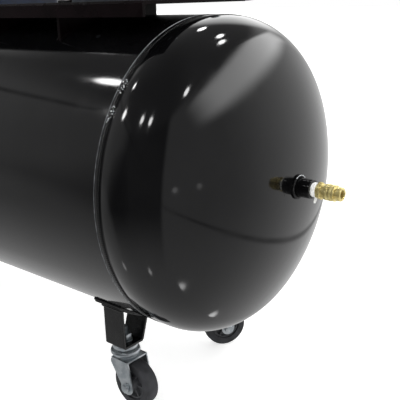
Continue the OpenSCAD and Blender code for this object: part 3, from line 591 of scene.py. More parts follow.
def screw_head(radius: float, height: float, across_flats: float) -> Mesh:
    """Makes a hex screw head on its washer, standing on the XY plane.

    Args:
        radius: the washer's radius.
        height: the height of head and washer.
        across_flats: the head's size over two flats.

    Returns:
        The screw head's mesh.
    """
    bm = bmesh.new()
    washer = height * 0.22
    disc = [(0, 0), (radius, 0), (radius, washer), (0, washer)]
    lathe(bm, rounded(disc, washer * 0.4, 2), AT_ORIGIN, 32)
    lift = Matrix.Translation((0, 0, washer))
    lathe(bm, hex_profile(across_flats, height - washer), lift, 48, shape=hexagon(across_flats))
    return finished_mesh(bm, "screw_head", 30)


def weld_ripple(out: float, side: float, ahead: float) -> Mesh:
    """Makes one ripple of a weld, with its Z axis along the weld and X out of the surface.

    Args:
        out: half its height.
        side: half its width.
        ahead: half its length along the weld.

    Returns:
        The ripple's mesh.
    """
    bm = bmesh.new()
    bmesh.ops.create_uvsphere(bm, u_segments=12, v_segments=8, radius=1.0,
                              matrix=Matrix.Diagonal((out, side, ahead, 1.0)))
    return finished_mesh(bm, "weld_ripple", 60)


def metal_drop(radius: float) -> Mesh:
    """Returns one round drop of spattered weld metal."""
    bm = bmesh.new()
    bmesh.ops.create_icosphere(bm, subdivisions=2, radius=radius)
    return finished_mesh(bm, "metal_drop", 60)


# ---------------------------------------------------------------- repeats by Geometry Nodes


class Repeat:
    """Repeats one small mesh with a Geometry Nodes tree, and bakes the result into a plain mesh."""

    def __init__(self, name: str, unit: Mesh, finish: Finish) -> None:
        """Keeps the unit mesh in an object of its own and starts the tree.

        Args:
            name: the name of the tree and of the result.
            unit: the mesh that is repeated.
            finish: the finish that the tree sets on the result.
        """
        self.name = name
        self.finish = finish
        self.unit = bpy.data.objects.new(name + "_unit", unit)
        self.tree = bpy.data.node_groups.new(name, "GeometryNodeTree")
        self.values: dict[str, float | int] = {}
        for way in ("INPUT", "OUTPUT"):
            self.tree.interface.new_socket("Geometry", in_out=way, socket_type="NodeSocketGeometry")

    def sizes(self, **named: float | int) -> bpy.types.NodeOutputs:
        """Adds named inputs to the tree, with their values.

        Args:
            named: each input's name and value.

        Returns:
            The sockets that hand the inputs out inside the tree.
        """
        for name, value in named.items():
            kind = "NodeSocketInt" if isinstance(value, int) else "NodeSocketFloat"
            socket = self.tree.interface.new_socket(name, in_out="INPUT", socket_type=kind)
            self.values[socket.identifier] = value
        return add_node(self.tree, "NodeGroupInput").outputs

    def bake(self, points: Socket, host: Mesh | None = None, **placing: Socket) -> Mesh:
        """Puts the unit on points, realizes it, sets its material and makes it a plain mesh.

        Args:
            points: the places.
            host: the mesh that the tree works from, where it needs one.
            placing: the turn and the size at each point, under the input's name.

        Returns:
            The repeated unit as one mesh.
        """
        tree = self.tree
        source = add_node(tree, "GeometryNodeObjectInfo", None, {"Object": self.unit})
        many = add_node(tree, "GeometryNodeInstanceOnPoints", None, {
            "Points": points, "Instance": source.outputs["Geometry"], **placing})
        real = add_node(tree, "GeometryNodeRealizeInstances", None, {0: many.outputs[0]})
        dressed = add_node(tree, "GeometryNodeSetMaterial", None, {
            "Geometry": real.outputs[0], "Material": self.finish.material()})
        add_node(tree, "NodeGroupOutput", None, {0: dressed.outputs[0]})
        start = host or bpy.data.meshes.new(self.name + "_host")
        carrier = bpy.data.objects.new(self.name + "_carrier", start)
        for made in (carrier, self.unit):
            bpy.context.scene.collection.objects.link(made)
        modifier = carrier.modifiers.new(self.name, "NODES")
        modifier.node_group = tree
        for identifier, value in self.values.items():
            modifier[identifier] = value
        carrier.update_tag()
        depsgraph = bpy.context.evaluated_depsgraph_get()
        result = bpy.data.meshes.new_from_object(carrier.evaluated_get(depsgraph), depsgraph=depsgraph)
        result.name = self.name
        for made in (carrier, self.unit):
            bpy.data.objects.remove(made)
        return result

    def on_arc(self, count: int, radius: float, start_deg: float = 0.0,
               sweep_deg: float | None = None) -> Mesh:
        """Repeats the unit round the Z axis, turned to face outwards.

        Args:
            count: how many copies there are.
            radius: the arc's radius.
            start_deg: the angle of the first copy.
            sweep_deg: the angle from the first to the last copy, or None for a full ring.

        Returns:
            The repeated copies as one mesh.
        """
        whole = 360.0 * (count - 1) / count if sweep_deg is None else sweep_deg
        ins = self.sizes(Count=count, Radius=radius, Start=math.radians(start_deg), Sweep=math.radians(whole))
        tree = self.tree
        curve = add_node(tree, "GeometryNodeCurveArc", {"mode": "RADIUS"}, {
            "Radius": ins["Radius"], "Start Angle": ins["Start"], "Sweep Angle": ins["Sweep"],
            "Resolution": 256})
        points = add_node(tree, "GeometryNodeCurveToPoints", {"mode": "COUNT"}, {
            "Curve": curve.outputs["Curve"], "Count": ins["Count"]})
        place = add_node(tree, "GeometryNodeInputPosition").outputs[0]
        split = add_node(tree, "ShaderNodeSeparateXYZ", None, {0: place})
        angle = add_node(tree, "ShaderNodeMath", {"operation": "ARCTAN2"}, {
            0: split.outputs[1], 1: split.outputs[0]})
        turn = add_node(tree, "ShaderNodeCombineXYZ", None, {2: angle.outputs[0]})
        return self.bake(points.outputs["Points"], Rotation=turn.outputs[0])

    def on_grid(self, counts: tuple[int, int], pitch: Point) -> Mesh:
        """Repeats the unit on a grid in the XY plane, centred on the origin.

        Args:
            counts: how many columns and rows there are.
            pitch: the distance between columns and between rows.

        Returns:
            The repeated copies as one mesh.
        """
        ins = self.sizes(Columns=counts[0], Rows=counts[1], Width=pitch[0] * (counts[0] - 1),
                         Depth=pitch[1] * (counts[1] - 1))
        grid = add_node(self.tree, "GeometryNodeMeshGrid", None, {
            "Size X": ins["Width"], "Size Y": ins["Depth"],
            "Vertices X": ins["Columns"], "Vertices Y": ins["Rows"]})
        return self.bake(grid.outputs["Mesh"])

    def scatter(self, host: Mesh, density: float, seed: int) -> Mesh:
        """Scatters the unit over a host mesh, in sizes from about a half to one.

        Args:
            host: the surface that the copies sit on.
            density: copies to a square metre.
            seed: the fixed seed of places and sizes.

        Returns:
            The scattered copies as one mesh.
        """
        ins = self.sizes(Density=density, Seed=seed)
        points = add_node(self.tree, "GeometryNodeDistributePointsOnFaces", None, {
            "Mesh": ins["Geometry"], "Density": ins["Density"], "Seed": ins["Seed"]}).outputs
        size = add_node(self.tree, "FunctionNodeRandomValue", {"data_type": "FLOAT"}, {
            2: 0.45, 3: 1.0, "Seed": ins["Seed"]})
        return self.bake(points["Points"], host, Rotation=points["Rotation"], Scale=size.outputs[1])

    def along(self, path: Sequence[Vector], pitch: float, cyclic: bool = False) -> Mesh:
        """Repeats the unit along a path, its Z axis on the path's direction.

        Args:
            path: the points of the path.
            pitch: the distance from one copy to the next.
            cyclic: closes the path.

        Returns:
            The row of copies as one mesh.
        """
        host = bpy.data.meshes.new(self.name + "_path")
        edges = [(i, i + 1) for i in range(len(path) - 1)]
        if cyclic:
            edges.append((len(path) - 1, 0))
        host.from_pydata([tuple(p) for p in path], edges, [])
        ins = self.sizes(Pitch=pitch)
        curve = add_node(self.tree, "GeometryNodeMeshToCurve", None, {"Mesh": ins["Geometry"]})
        points = add_node(self.tree, "GeometryNodeCurveToPoints", {"mode": "LENGTH"}, {
            "Curve": curve.outputs["Curve"], "Length": ins["Pitch"]}).outputs
        return self.bake(points["Points"], host, Rotation=points["Rotation"])


# ---------------------------------------------------------------- pieces


@dataclass(frozen=True)
class Dressing:
    """How one CAD node is finished: its looks, the body that it moves with and its broken edges."""

    node: str
    finish: Finish
    slot: str
    bevel_mm: float
    body: str = FIXED
    smooth_deg: float = 32.0
    sharp_deg: float = 40.0


@dataclass
class SubAssembly:
    """A group of pieces that is built and dressed together; mirrored tells if glossy surfaces show it."""

    mirrored: bool = True
    dressings: tuple[Dressing, ...] = ()

    def build(self) -> None:
        """Finishes the sub-assembly's CAD nodes, each after its own dressing."""
        for dressing in self.dressings:
            self.refine(dressing)

    def publish(self, mesh: Mesh, name: str, finish: Finish, slot: str, body: str = FIXED,
                nodes: Sequence[str] = ()) -> Object:
        """Makes a piece of a mesh that already lies in its place.

        Args:
            mesh: the piece's mesh, in the frame's own coordinates.
            name: the piece's name.
            finish: its finish.
            slot: the record's material slot, which is not used.
            body: the body that it moves with.
            nodes: the CAD nodes that it stands for.

        Returns:
            The piece's object.
        """
        mesh.materials.clear()
        mesh.materials.append(finish.material())
        piece = bpy.data.objects.new(name, mesh)
        bpy.context.scene.collection.objects.link(piece)
        piece.visible_glossy = self.mirrored
        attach(piece, body)
        if nodes:
            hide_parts(*nodes)
        LOG.info("%s: %d faces on %s", name, len(mesh.polygons), body)
        return piece

    def refine(self, dressing: Dressing) -> Object:
        """Makes a finished piece of a CAD node: merged, cleaned, its edges broken and shaded smooth.

        Args:
            dressing: the node, with its looks and edges.

        Returns:
            The piece's object.
        """
        bm = bmesh.new()
        bm.from_mesh(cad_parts[dressing.node].data)
        bmesh.ops.remove_doubles(bm, verts=bm.verts, dist=2e-6)
        bmesh.ops.dissolve_limit(bm, angle_limit=math.radians(0.6), verts=bm.verts, edges=bm.edges)
        edges = [e for e in bm.edges
                 if len(e.link_faces) == 2 and e.calc_face_angle(0.0) > math.radians(dressing.sharp_deg)]
        bmesh.ops.bevel(bm, geom=edges, offset=dressing.bevel_mm * MM, segments=2, profile=0.6,
                        affect="EDGES", clamp_overlap=True)
        name = dressing.node + "_look"
        mesh = finished_mesh(bm, name, dressing.smooth_deg, turn_out=False)
        piece = self.publish(mesh, name, dressing.finish, dressing.slot, dressing.body, [dressing.node])
        tidy = piece.modifiers.new("even_normals", "WEIGHTED_NORMAL")
        tidy.keep_sharp = True
        return piece

    def weld(self, name: str, paths: Sequence[Sequence[Vector]], width: float, finish: Finish,
             slot: str) -> Object:
        """Lays a rippled fillet weld along each path.

        Args:
            name: the piece's name.
            paths: the welds' middle lines.
            width: the fillet's width.
            finish: its finish.
            slot: the record's material slot.

        Returns:
            The piece's object.
        """
        beads = []
        for i, path in enumerate(paths):
            repeat = Repeat(f"{name}_{i}", weld_ripple(width / 2, width / 2, width * 0.42), finish)
            beads.append(repeat.along(path, width * 0.38))
        return self.publish(joined(beads, name, 70), name, finish, slot)


@dataclass
class Tank(SubAssembly):
    """The pressure tank: shell, two dished heads and their welded seams."""

    wall: float = 3.0 * MM
    flange: float = 28.0 * MM
    crown_r: float = 360.0 * MM
    knuckle_r: float = 69.0 * MM
    seam_w: float = 12.0 * MM
    weld_sink: float = 0.9 * MM
    weld_pitch: float = 3.1 * MM
    ripple: tuple[float, float, float] = (3.9 * MM, 1.3 * MM, 2.6 * MM)
    spatter_r: float = 0.75 * MM
    spatter_density: float = 5200.0
    spatter_seed: int = 7
    # Pale weld drops on two patches of each seam are painted glints.
    glint_drop_r: float = 1.1 * MM
    glint_density: float = 110000.0
    glint_seed: int = 11
    glint_deg: Point = (136.5, 146.0)
    segments: int = 256

    def __post_init__(self) -> None:
        """Works out the tank's own sizes from the frame."""
        self.low, self.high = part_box("tank_shell")
        self.radius = (self.high.y - self.low.y) / 2
        self.height = (self.high.z + self.low.z) / 2

    def head_profile(self) -> list[Point]:
        """Works out a head's outside, from the seam's groove to its pole.

        Returns:
            Pairs of radius and distance from the seam.
        """
        knuckle_x = self.radius - self.knuckle_r
        drop = math.sqrt((self.crown_r - self.knuckle_r) ** 2 - knuckle_x ** 2)
        crown_z = self.flange - drop
        tangent = math.degrees(math.atan2(drop, knuckle_x))
        knuckle = arc((knuckle_x, self.flange), (self.knuckle_r, self.knuckle_r), 0.0, tangent, 24)
        crown = arc((0.0, crown_z), (self.crown_r, self.crown_r), tangent, 90.0, 40)
        return [(self.radius, self.seam_w + 1.5 * MM), (self.radius, self.flange), *knuckle[1:], *crown[1:-1],
                (0.0, crown_z + self.crown_r)]

    def seam_profile(self) -> list[Point]:
        """Works out the lap between shell and head: rounded shell edge, weld bed and groove.

        Returns:
            Pairs of radius and distance from the seam.
        """
        r, w = self.radius, self.seam_w
        edge = [(0.0, -1.0 * MM), (0.15, -0.3 * MM), (0.7, 0.3 * MM), (0.9, 1.2 * MM)]
        weld = [(0.6, 0.3 * w), (0.7, 0.6 * w), (1.5, 0.78 * w)]
        groove = [(1.9, 0.88 * w), (1.4, 0.97 * w), (0.3, w + 0.8 * MM)]
        return [(r - sink * MM, depth) for sink, depth in [*edge, *weld, *groove]]

    def build(self) -> None:
        """Builds the shell, and both heads with their seams."""
        long, rows = self.high.x - self.low.x, 24
        outer = [(self.radius, long * i / rows) for i in range(rows + 1)]
        inner = [(self.radius - self.wall, z) for _, z in reversed(outer)]
        shell = turned("tank_shell_look", [*outer, *inner], placed((self.low.x, 0, self.height), Axis.ALONG),
                       self.segments)
        self.publish(shell, "tank_shell_look", TANK_ENAMEL, "tank_black", nodes=["tank_shell"])
        ends = (("head_right", self.high.x, Axis.ALONG), ("head_left", self.low.x, Axis.BACK))
        for node, seam_x, axis in ends:
            place = placed((seam_x, 0, self.height), axis)
            self.build_head(node, place)
            self.build_seam_weld(node, place)
            self.build_edge(node, place)
            self.build_bare_weld(node, place)

    def build_head(self, node: str, place: Matrix) -> None:
        """Builds one dished head with its lap seam.

        Args:
            node: the head's CAD node.
            place: the seam's place, with its Z axis out of the tank.
        """
        outside = self.seam_profile() + self.head_profile()
        inside = [(max(r - self.wall * 1.4, 0.0), z - (self.wall if r < self.radius * 0.9 else 0.0))
                  for r, z in reversed(self.head_profile())]
        inside.append((self.radius - 2.2 * self.wall, -1.0 * MM))
        mesh = turned(node + "_look", outside + inside, place, self.segments, 50)
        self.publish(mesh, node + "_look", TANK_ENAMEL, "tank_black", nodes=[node])

    def build_seam_weld(self, node: str, place: Matrix) -> None:
        """Lays the seam's weld ripples under the enamel, with spatter on both sides.

        Args:
            node: the head's CAD node.
            place: the seam's place.
        """
        path = circle(self.radius - self.weld_sink, 0.42 * self.seam_w, place, 720)
        ripples = Repeat(node + "_weld_ripples", weld_ripple(*self.ripple), TANK_ENAMEL).along(
            path, self.weld_pitch, True)
        skin = self.radius - 0.2 * MM
        strip = turned("spatter_strip", [(skin, -2 * MM), (skin, 15 * MM)], place, 128, closed=False)
        spatter = Repeat(node + "_spatter", metal_drop(self.spatter_r), TANK_ENAMEL).scatter(
            strip, self.spatter_density, self.spatter_seed)
        mesh = joined([ripples, spatter], node + "_weld", 70)
        self.publish(mesh, node + "_weld", TANK_ENAMEL, "tank_black")

    def build_edge(self, node: str, place: Matrix) -> None:
        """Builds the worn rim of the shell's cut edge, painted pale as the edge's highlight.

        Args:
            node: the head's CAD node.
            place: the seam's place.
        """
        # The rim's pale finish is worn enamel and a painted highlight of the edge.
        r = self.radius
        rim = [(r - 0.02 * MM, -1.0 * MM), (r - 0.02 * MM, 0.2 * MM), (r - 1.0 * MM, 0.7 * MM),
               (r - 1.4 * MM, -0.6 * MM)]
        mesh = turned(node + "_edge", rim, place, self.segments)
        self.publish(mesh, node + "_edge", WORN_EDGE_HIGHLIGHT, "tank_black")

    def build_bare_weld(self, node: str, place: Matrix) -> None:
        """Builds two patches of pale weld drops on the seam, which are painted glints.

        Args:
            node: the head's CAD node.
            place: the seam's place.
        """
        strip = bmesh.new()
        for start in self.glint_deg:
            sides = [circle(self.radius - 0.2 * MM, z, place, 9, start, 0.7) for z in (1.5 * MM, 9.0 * MM)]
            rows = [[strip.verts.new(p) for p in pair] for pair in zip(*sides)]
            for a, b in zip(rows, rows[1:]):
                strip.faces.new((a[0], a[1], b[1], b[0]))
        patches = Repeat(node + "_bare_weld", metal_drop(self.glint_drop_r), PAINTED_GLINT_WELD).scatter(
            finished_mesh(strip, "bare_strip"), self.glint_density, self.glint_seed)
        self.publish(patches, node + "_bare_weld", PAINTED_GLINT_WELD, "tank_black")


@dataclass
class Outlet(SubAssembly):
    """The half coupling near the middle of the head, the thread tape and the quick coupler."""

    length: float = 66.0 * MM
    thread_r: float = 8.0 * MM
    socket_r: float = 13.0 * MM
    socket_l: float = 23.0 * MM
    tape_r: float = 9.9 * MM
    tape_l: float = 7.5 * MM
    lump: float = 0.22 * MM
    tail_w: float = 3.4 * MM
    tail_l: float = 10.2 * MM
    hex_af: float = 21.0 * MM
    hex_l: float = 7.0 * MM
    sleeve_z: float = 42.0 * MM
    sleeve_l: float = 15.0 * MM
    sleeve_r: float = 10.7 * MM
    band_r: float = 11.1 * MM
    knurl_l: float = 12.0 * MM
    knurl_depth: float = 0.28 * MM
    knurls: int = 48
    neck_r: float = 9.5 * MM
    nose_r: float = 9.4 * MM
    nose_l: float = 8.5 * MM
    bore_r: float = 5.6 * MM
    bore_l: float = 24.0 * MM

    def __post_init__(self) -> None:
        """Finds the outlet's axis and ends from the frame."""
        axis, tip = middle("coupler_sleeve"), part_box("coupler_body")[1]
        self.side, self.height = axis.y, axis.z
        self.apex = tip.x - self.length
        self.place = placed((self.apex, self.side, self.height), Axis.ALONG)

    def build(self) -> None:
        """Builds each fitting of the outlet, from the head outwards."""
        self.build_socket()
        self.build_tape()
        self.build_body()
        self.build_sleeve()

    def build_socket(self) -> None:
        """Builds the half coupling, with its weld round the foot and pale ripples on the weld's crest as
        painted glints.
        """
        r, end, bore = self.socket_r, self.socket_l, self.thread_r
        profile = [(bore, -1 * MM), (r, -1 * MM), (r, end), (bore + 1 * MM, end), (bore, end - 1 * MM)]
        socket = turned("socket", rounded(profile, 0.9 * MM), self.place, 96, 40)
        ring = circle(r + 1.4 * MM, 1.2 * MM, self.place, 120)
        weld = Repeat("socket_weld", weld_ripple(2.2 * MM, 2.6 * MM, 1.7 * MM), TANK_ENAMEL).along(
            ring, 1.9 * MM, True)
        # Pale ripples on the weld's upper crest are painted glints.
        crest = circle(r + 3.0 * MM, 2.8 * MM, self.place, 25, 45, 3)
        name = "socket_weld_crest"
        bright = Repeat(name, weld_ripple(0.5 * MM, 0.7 * MM, 1.3 * MM), PAINTED_GLINT_WELD).along(crest, 2.6 * MM)
        self.publish(joined([bright], name, 60), name, PAINTED_GLINT_WELD, "frame_black")
        self.publish(joined([socket, weld], "outlet_socket_look", 50), "outlet_socket_look", TANK_ENAMEL,
                     "frame_black", nodes=["outlet_socket"])

    def build_tape(self) -> None:
        """Builds the lumpy roll of thread tape with its torn tail."""
        start, end, bore = self.socket_l - 0.3 * MM, self.socket_l + self.tape_l + 0.2 * MM, self.thread_r
        top, centre = self.tape_r, (start + end) / 2

        def lumps(angle: float, height: float, radius: float) -> float:
            """Adds the wraps' uneven lumps, which wind along the roll in two waves.

            Args:
                angle: the angle round the roll.
                height: the distance along it.
                radius: the plain radius.

            Returns:
                The lumpy radius.
            """
            if radius < bore + 0.3 * MM:
                return radius
            slow = math.sin(3 * angle + height * 900)
            quick = math.sin(7 * angle - height * 2100)
            return radius + self.lump * (slow + 0.6 * quick)

        roll = [(bore, start), (top - 0.8 * MM, start), (top, centre - 1.2 * MM), (top - 0.35 * MM, centre),
                (top, centre + 1.3 * MM), (top - 0.6 * MM, end), (bore, end)]
        bm = bmesh.new()
        lathe(bm, rounded(roll, 0.6 * MM, 3), self.place, 96, True, lumps)
        self.add_tail(bm)
        self.publish(finished_mesh(bm, "seal_tape_look", 60), "seal_tape_look", THREAD_TAPE, "tape_white",
                     nodes=["seal_tape"])

    def add_tail(self, bm: BMesh) -> None:
        """Adds the tape's torn tail, which hangs in front of the roll.

        Args:
            bm: the roll's mesh.
        """
        rows, columns = 9, 4
        grid = []
        for i in range(rows + 1):
            t = i / rows
            z = self.height - 8.6 * MM - self.tail_l * t
            x0 = self.apex + self.socket_l + 1.8 * MM + 0.5 * MM * math.sin(5 * t)
            narrow = self.tail_w * (1 - 0.35 * t * t)
            grid.append([bm.verts.new((x0 + narrow * k / columns,
                                       self.side - 1.0 * MM * math.sin(3.0 * t + k * 0.5), z))
                         for k in range(columns + 1)])
        front = [bm.faces.new((a[k], a[k + 1], b[k + 1], b[k]))
                 for a, b in zip(grid, grid[1:]) for k in range(columns)]
        bmesh.ops.solidify(bm, geom=front, thickness=0.25 * MM)

    def build_body(self) -> None:
        """Builds the coupler's body: male thread, hexagon, neck, and a nose with an open bore."""
        hex0 = self.socket_l + self.tape_l
        hex1 = hex0 + self.hex_l
        end = self.length
        nose = end - self.nose_l
        corner, inner = self.hex_af / math.sqrt(3), self.hex_af * 0.475
        neck, bore = self.neck_r, self.bore_r
        thread_r = self.thread_r
        thread = [(0, 5 * MM), (thread_r - 0.4 * MM, 5 * MM), (thread_r, 7 * MM), (thread_r, hex0)]
        nut = [(inner, hex0), (corner, hex0 + 1.0 * MM), (corner, hex1 - 1.0 * MM), (inner, hex1)]
        groove = [(neck, hex1 + 0.1 * MM), (neck, hex1 + 1.4 * MM), (neck - 0.5 * MM, hex1 + 1.7 * MM),
                  (neck - 0.5 * MM, hex1 + 2.9 * MM), (neck, hex1 + 3.2 * MM), (neck, nose - 0.6 * MM)]
        tip = [(self.nose_r - 0.9 * MM, nose), (self.nose_r - 0.9 * MM, nose + 1.6 * MM),
               (self.nose_r, nose + 2.4 * MM), (self.nose_r, end - 1.1 * MM), (self.nose_r - 1.0 * MM, end)]
        hole = [(bore + 0.7 * MM, end), (bore, end - 0.9 * MM), (bore, end - self.bore_l),
                (2.6 * MM, end - self.bore_l - 2 * MM), (0, end - self.bore_l - 2 * MM)]
        mesh = turned("coupler_body_look", [*thread, *nut, *groove, *tip, *hole], self.place, 144, 28, False,
                      self.hex_only(hex0, hex1))
        self.publish(mesh, "coupler_body_look", BRASS, "brass", nodes=["coupler_body"])

    def hex_only(self, low: float, high: float) -> Shape:
        """Makes a shape that is a hexagon between two heights and round elsewhere.

        Args:
            low: where the hexagon starts.
            high: where it ends.

        Returns:
            The shape.
        """
        six = hexagon(self.hex_af)

        def radius(angle: float, height: float, plain: float) -> float:
            """Returns the hexagon's radius between the heights."""
            return six(angle, height, plain) if low - POLE <= height <= high + POLE else plain

        return radius

    def build_sleeve(self) -> None:
        """Builds the pull-back sleeve, with two raised and knurled bands."""
        start, top, bottom, bore = self.sleeve_z, self.band_r, self.sleeve_r, self.neck_r + 0.06 * MM
        lip = top - 0.2 * MM
        steps = [(bottom, 0.0), (bottom, 1.2), (top, 1.8), (top, 5.2), (bottom, 5.8), (bottom, 6.8),
                 (top, 7.4), (top, 10.8), (bottom, 11.4), (bottom, 12.8), (lip, 13.4), (lip, 14.4),
                 (bottom, 15.0)]

        def knurled(angle: float, height: float, radius: float) -> float:
            """Returns the radius with straight knurls on the raised bands."""
            if radius < top - 0.05 * MM or height > start + self.knurl_l:
                return radius
            return radius - self.knurl_depth * (0.5 + 0.5 * math.cos(self.knurls * angle))

        outside = [(r, start + z * MM) for r, z in steps]
        mesh = turned("coupler_sleeve_look", [*outside, (bore, start + self.sleeve_l), (bore, start)],
                      self.place, self.knurls * 6, 32, True, knurled)
        self.publish(mesh, "coupler_sleeve_look", BRASS, "brass", "sleeve", ["coupler_sleeve"])


@dataclass
class Casters(SubAssembly):
    """Four swivel casters: stem, ball race, fork, axle, hub and tyre."""

    wheel_r: float = 37.5 * MM
    tyre_w: float = 24.0 * MM
    tyre_t: float = 13.5 * MM
    shoulder_r: float = 4.6 * MM
    hub_w: float = 37.0 * MM
    boss_r: float = 9.0 * MM
    trail: float = 20.0 * MM
    fork_w: float = 43.0 * MM
    fork_t: float = 2.7 * MM
    foot_r: float = 12.0 * MM
    fork_x: Point = (-12.0 * MM, 24.5 * MM)
    crown_top: float = 80.5 * MM
    race_r: float = 23.0 * MM
    rivet_r: float = 6.0 * MM
    axle_r: float = 4.0 * MM
    axle_af: float = 13.0 * MM
    stem_af: float = 18.0 * MM
    stem_r: float = 6.0 * MM
    cup_r: float = 19.5 * MM
    caster_h: float = 100.0 * MM
    turns_deg: tuple[float, ...] = (0.0, 60.0, -20.0, 10.0)

    def spots(self) -> list[tuple[str, Matrix]]:
        """Finds the casters' places from the stems' box.

        Returns:
            Each caster's name, with the matrix of its own frame on the floor under its stem.
        """
        low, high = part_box("caster_stems")
        reach = self.cup_r
        xs = (high.x - reach, high.x - reach, low.x + reach, low.x + reach)
        ys = (low.y + reach, high.y - reach, low.y + reach, high.y - reach)
        return [(name, Matrix.Translation((x, y, 0)) @ Matrix.Rotation(math.radians(turn), 4, "Z"))
                for name, x, y, turn in zip(CORNERS, xs, ys, self.turns_deg)]

    def build(self) -> None:
        """Builds the four casters."""
        for name, place in self.spots():
            self.build_fork(name, place)
            self.build_tyre(name, place)
            self.build_hub(name, place)
        self.build_stems()

    def build_stems(self) -> None:
        """Builds the stems with their upper race plates, washers and chamfered nuts."""
        bm = bmesh.new()
        h, top, r, af = self.caster_h, self.crown_top, self.cup_r, self.stem_af
        plate_top = h + 4.0 * MM
        race_top = top + 11.0 * MM
        pin_z, pin_r = top - self.fork_t - 0.3 * MM, self.rivet_r
        cup = [(0, race_top + 0.3 * MM), (r - 2.5 * MM, race_top + 0.3 * MM),
               (r - 0.6 * MM, race_top + 2 * MM), (r, race_top + 4 * MM), (r, h - 1.0 * MM),
               (r - 0.8 * MM, h - 0.05 * MM), (0, h - 0.05 * MM)]
        rivet = [(0, pin_z - 2.6 * MM), (pin_r - 1.4 * MM, pin_z - 2.6 * MM), (pin_r, pin_z - 1.2 * MM),
                 (pin_r, pin_z), (4 * MM, pin_z), (4 * MM, race_top + 1 * MM)]
        nut_z, washer_r = plate_top + 2 * MM, 12 * MM
        washer = [(0, plate_top), (washer_r, plate_top), (washer_r, nut_z), (0, nut_z)]
        for _, place in self.spots():
            lathe(bm, cup, place, 72)
            lathe(bm, rivet, place, 32)
            lathe(bm, rounded(washer, 0.4 * MM), place, 48)
            nut = place @ Matrix.Translation((0, 0, nut_z))
            lathe(bm, hex_profile(af, 10 * MM), nut, 72, shape=hexagon(af))
            lathe(bm, self.thread_profile(nut_z + 10 * MM, h + 28 * MM), place, 32)
        self.publish(finished_mesh(bm, "caster_stems_look", 30), "caster_stems_look", ZINC, "zinc",
                     nodes=["caster_stems"])

    def thread_profile(self, low: float, high: float) -> list[Point]:
        """Works out a ringed thread end with a chamfered tip.

        Args:
            low: where the thread starts.
            high: where the stem ends.

        Returns:
            Pairs of radius and height.
        """
        pitch, radius = 1.5 * MM, self.stem_r
        profile = [(0, low)]
        for i in range(int((high - low - 1 * MM) / pitch)):
            z = low + i * pitch
            profile += [(radius - 0.8 * MM, z), (radius, z + pitch * 0.5)]
        return [*profile, (radius - 1.2 * MM, high - 0.3 * MM), (radius - 1.6 * MM, high), (0, high)]

    def fork_leg(self, bm: BMesh, place: Matrix, y: float) -> None:
        """Adds one leg of the fork as a plate with a round foot and broken edges.

        Args:
            bm: the fork's mesh.
            place: the caster's place.
            y: where the plate's front lies, across the caster.
        """
        top, axle, foot = self.crown_top, self.wheel_r, self.foot_r
        x0, x1 = self.fork_x
        outline = [(x0 + 3 * MM, top), (x1 - 1 * MM, top), (x1, top - 1 * MM), (x1 + 2 * MM, top - 8 * MM),
                   *arc((self.trail, axle), (foot, foot), 10, -190, 16),
                   (x0, top - 8 * MM), (x0 + 0.6 * MM, top - 3 * MM)]
        centre = Vector((self.trail * 0.6, (top + axle) / 2))
        layers = []
        thick, broken = self.fork_t, 0.35 * MM
        for depth, inset in ((0.0, 0.5 * MM), (broken, 0.0), (thick - broken, 0.0), (thick, 0.5 * MM)):
            row = []
            for p in map(Vector, outline):
                q = p + (centre - p).normalized() * inset
                row.append(bm.verts.new(place @ Vector((q.x, y + depth, q.y))))
            layers.append(row)
        for low, high in zip(layers, layers[1:]):
            for i in range(len(outline)):
                j = (i + 1) % len(outline)
                bm.faces.new((low[i], low[j], high[j], high[i]))
        bm.faces.new(layers[0])
        bm.faces.new(layers[-1])

    def build_fork(self, name: str, place: Matrix) -> None:
        """Builds one pressed fork with its crown, ball race and axle bolt.

        Args:
            name: the corner that the caster stands at.
            place: the caster's place.
        """
        half, top, thick = self.fork_w / 2, self.crown_top, self.fork_t
        x0, x1 = self.fork_x
        bm = bmesh.new()
        self.fork_leg(bm, place, -half)
        self.fork_leg(bm, place, half - thick)
        block(bm, (x0 + 1 * MM, -half + 1.2 * MM, top - thick), (x1 - 0.4 * MM, half - 1.2 * MM, top), place)
        neck, bore = 20.0 * MM, 4.1 * MM
        bulge = arc((self.race_r - 1.6 * MM, top + 7.4 * MM), (1.6 * MM, 3.4 * MM), -90, 90, 12)
        race = [(bore, top - 0.1 * MM), (neck, top - 0.1 * MM), (neck - 0.6 * MM, top + 2 * MM),
                (neck - 0.2 * MM, top + 3.6 * MM), *bulge, (bore, top + 10.8 * MM)]
        lathe(bm, race, place, 96, True)
        self.axle(bm, place)
        ball = bmesh.new()
        bmesh.ops.create_uvsphere(ball, u_segments=14, v_segments=10, radius=1.5 * MM)
        ring = Repeat(f"race_balls_{name}", finished_mesh(ball, "race_ball", 60), ZINC).on_arc(26, 18.6 * MM)
        ring.transform(place @ Matrix.Translation((0, 0, top + 10.2 * MM)))
        mesh = joined([finished_mesh(bm, "fork", 34), ring], f"fork_{name}_look", 34)
        self.publish(mesh, f"fork_{name}_look", ZINC, "zinc", f"fork_{name}_body", [f"fork_{name}"])

    def axle(self, bm: BMesh, place: Matrix) -> None:
        """Adds the axle bolt with its head, lock nut and thread end.

        Args:
            bm: the fork's mesh.
            place: the caster's place.
        """
        half, af, r = self.fork_w / 2, self.axle_af, self.axle_r
        left = place @ placed((self.trail, -half, self.wheel_r), Axis.FORWARD)
        right = place @ placed((self.trail, half, self.wheel_r), Axis.ACROSS)
        lathe(bm, hex_profile(af, 5.3 * MM), left, 48, shape=hexagon(af))
        lathe(bm, hex_profile(af, 6.5 * MM), right, 48, shape=hexagon(af))
        tip = [(0, 6 * MM), (3.4 * MM, 6 * MM), (3.9 * MM, 7 * MM), (3.4 * MM, 9 * MM), (0, 9 * MM)]
        lathe(bm, tip, right, 24)
        lathe(bm, [(0, 0), (r, 0), (r, self.fork_w), (0, self.fork_w)],
              place @ placed((self.trail, -half, self.wheel_r), Axis.ACROSS), 24)

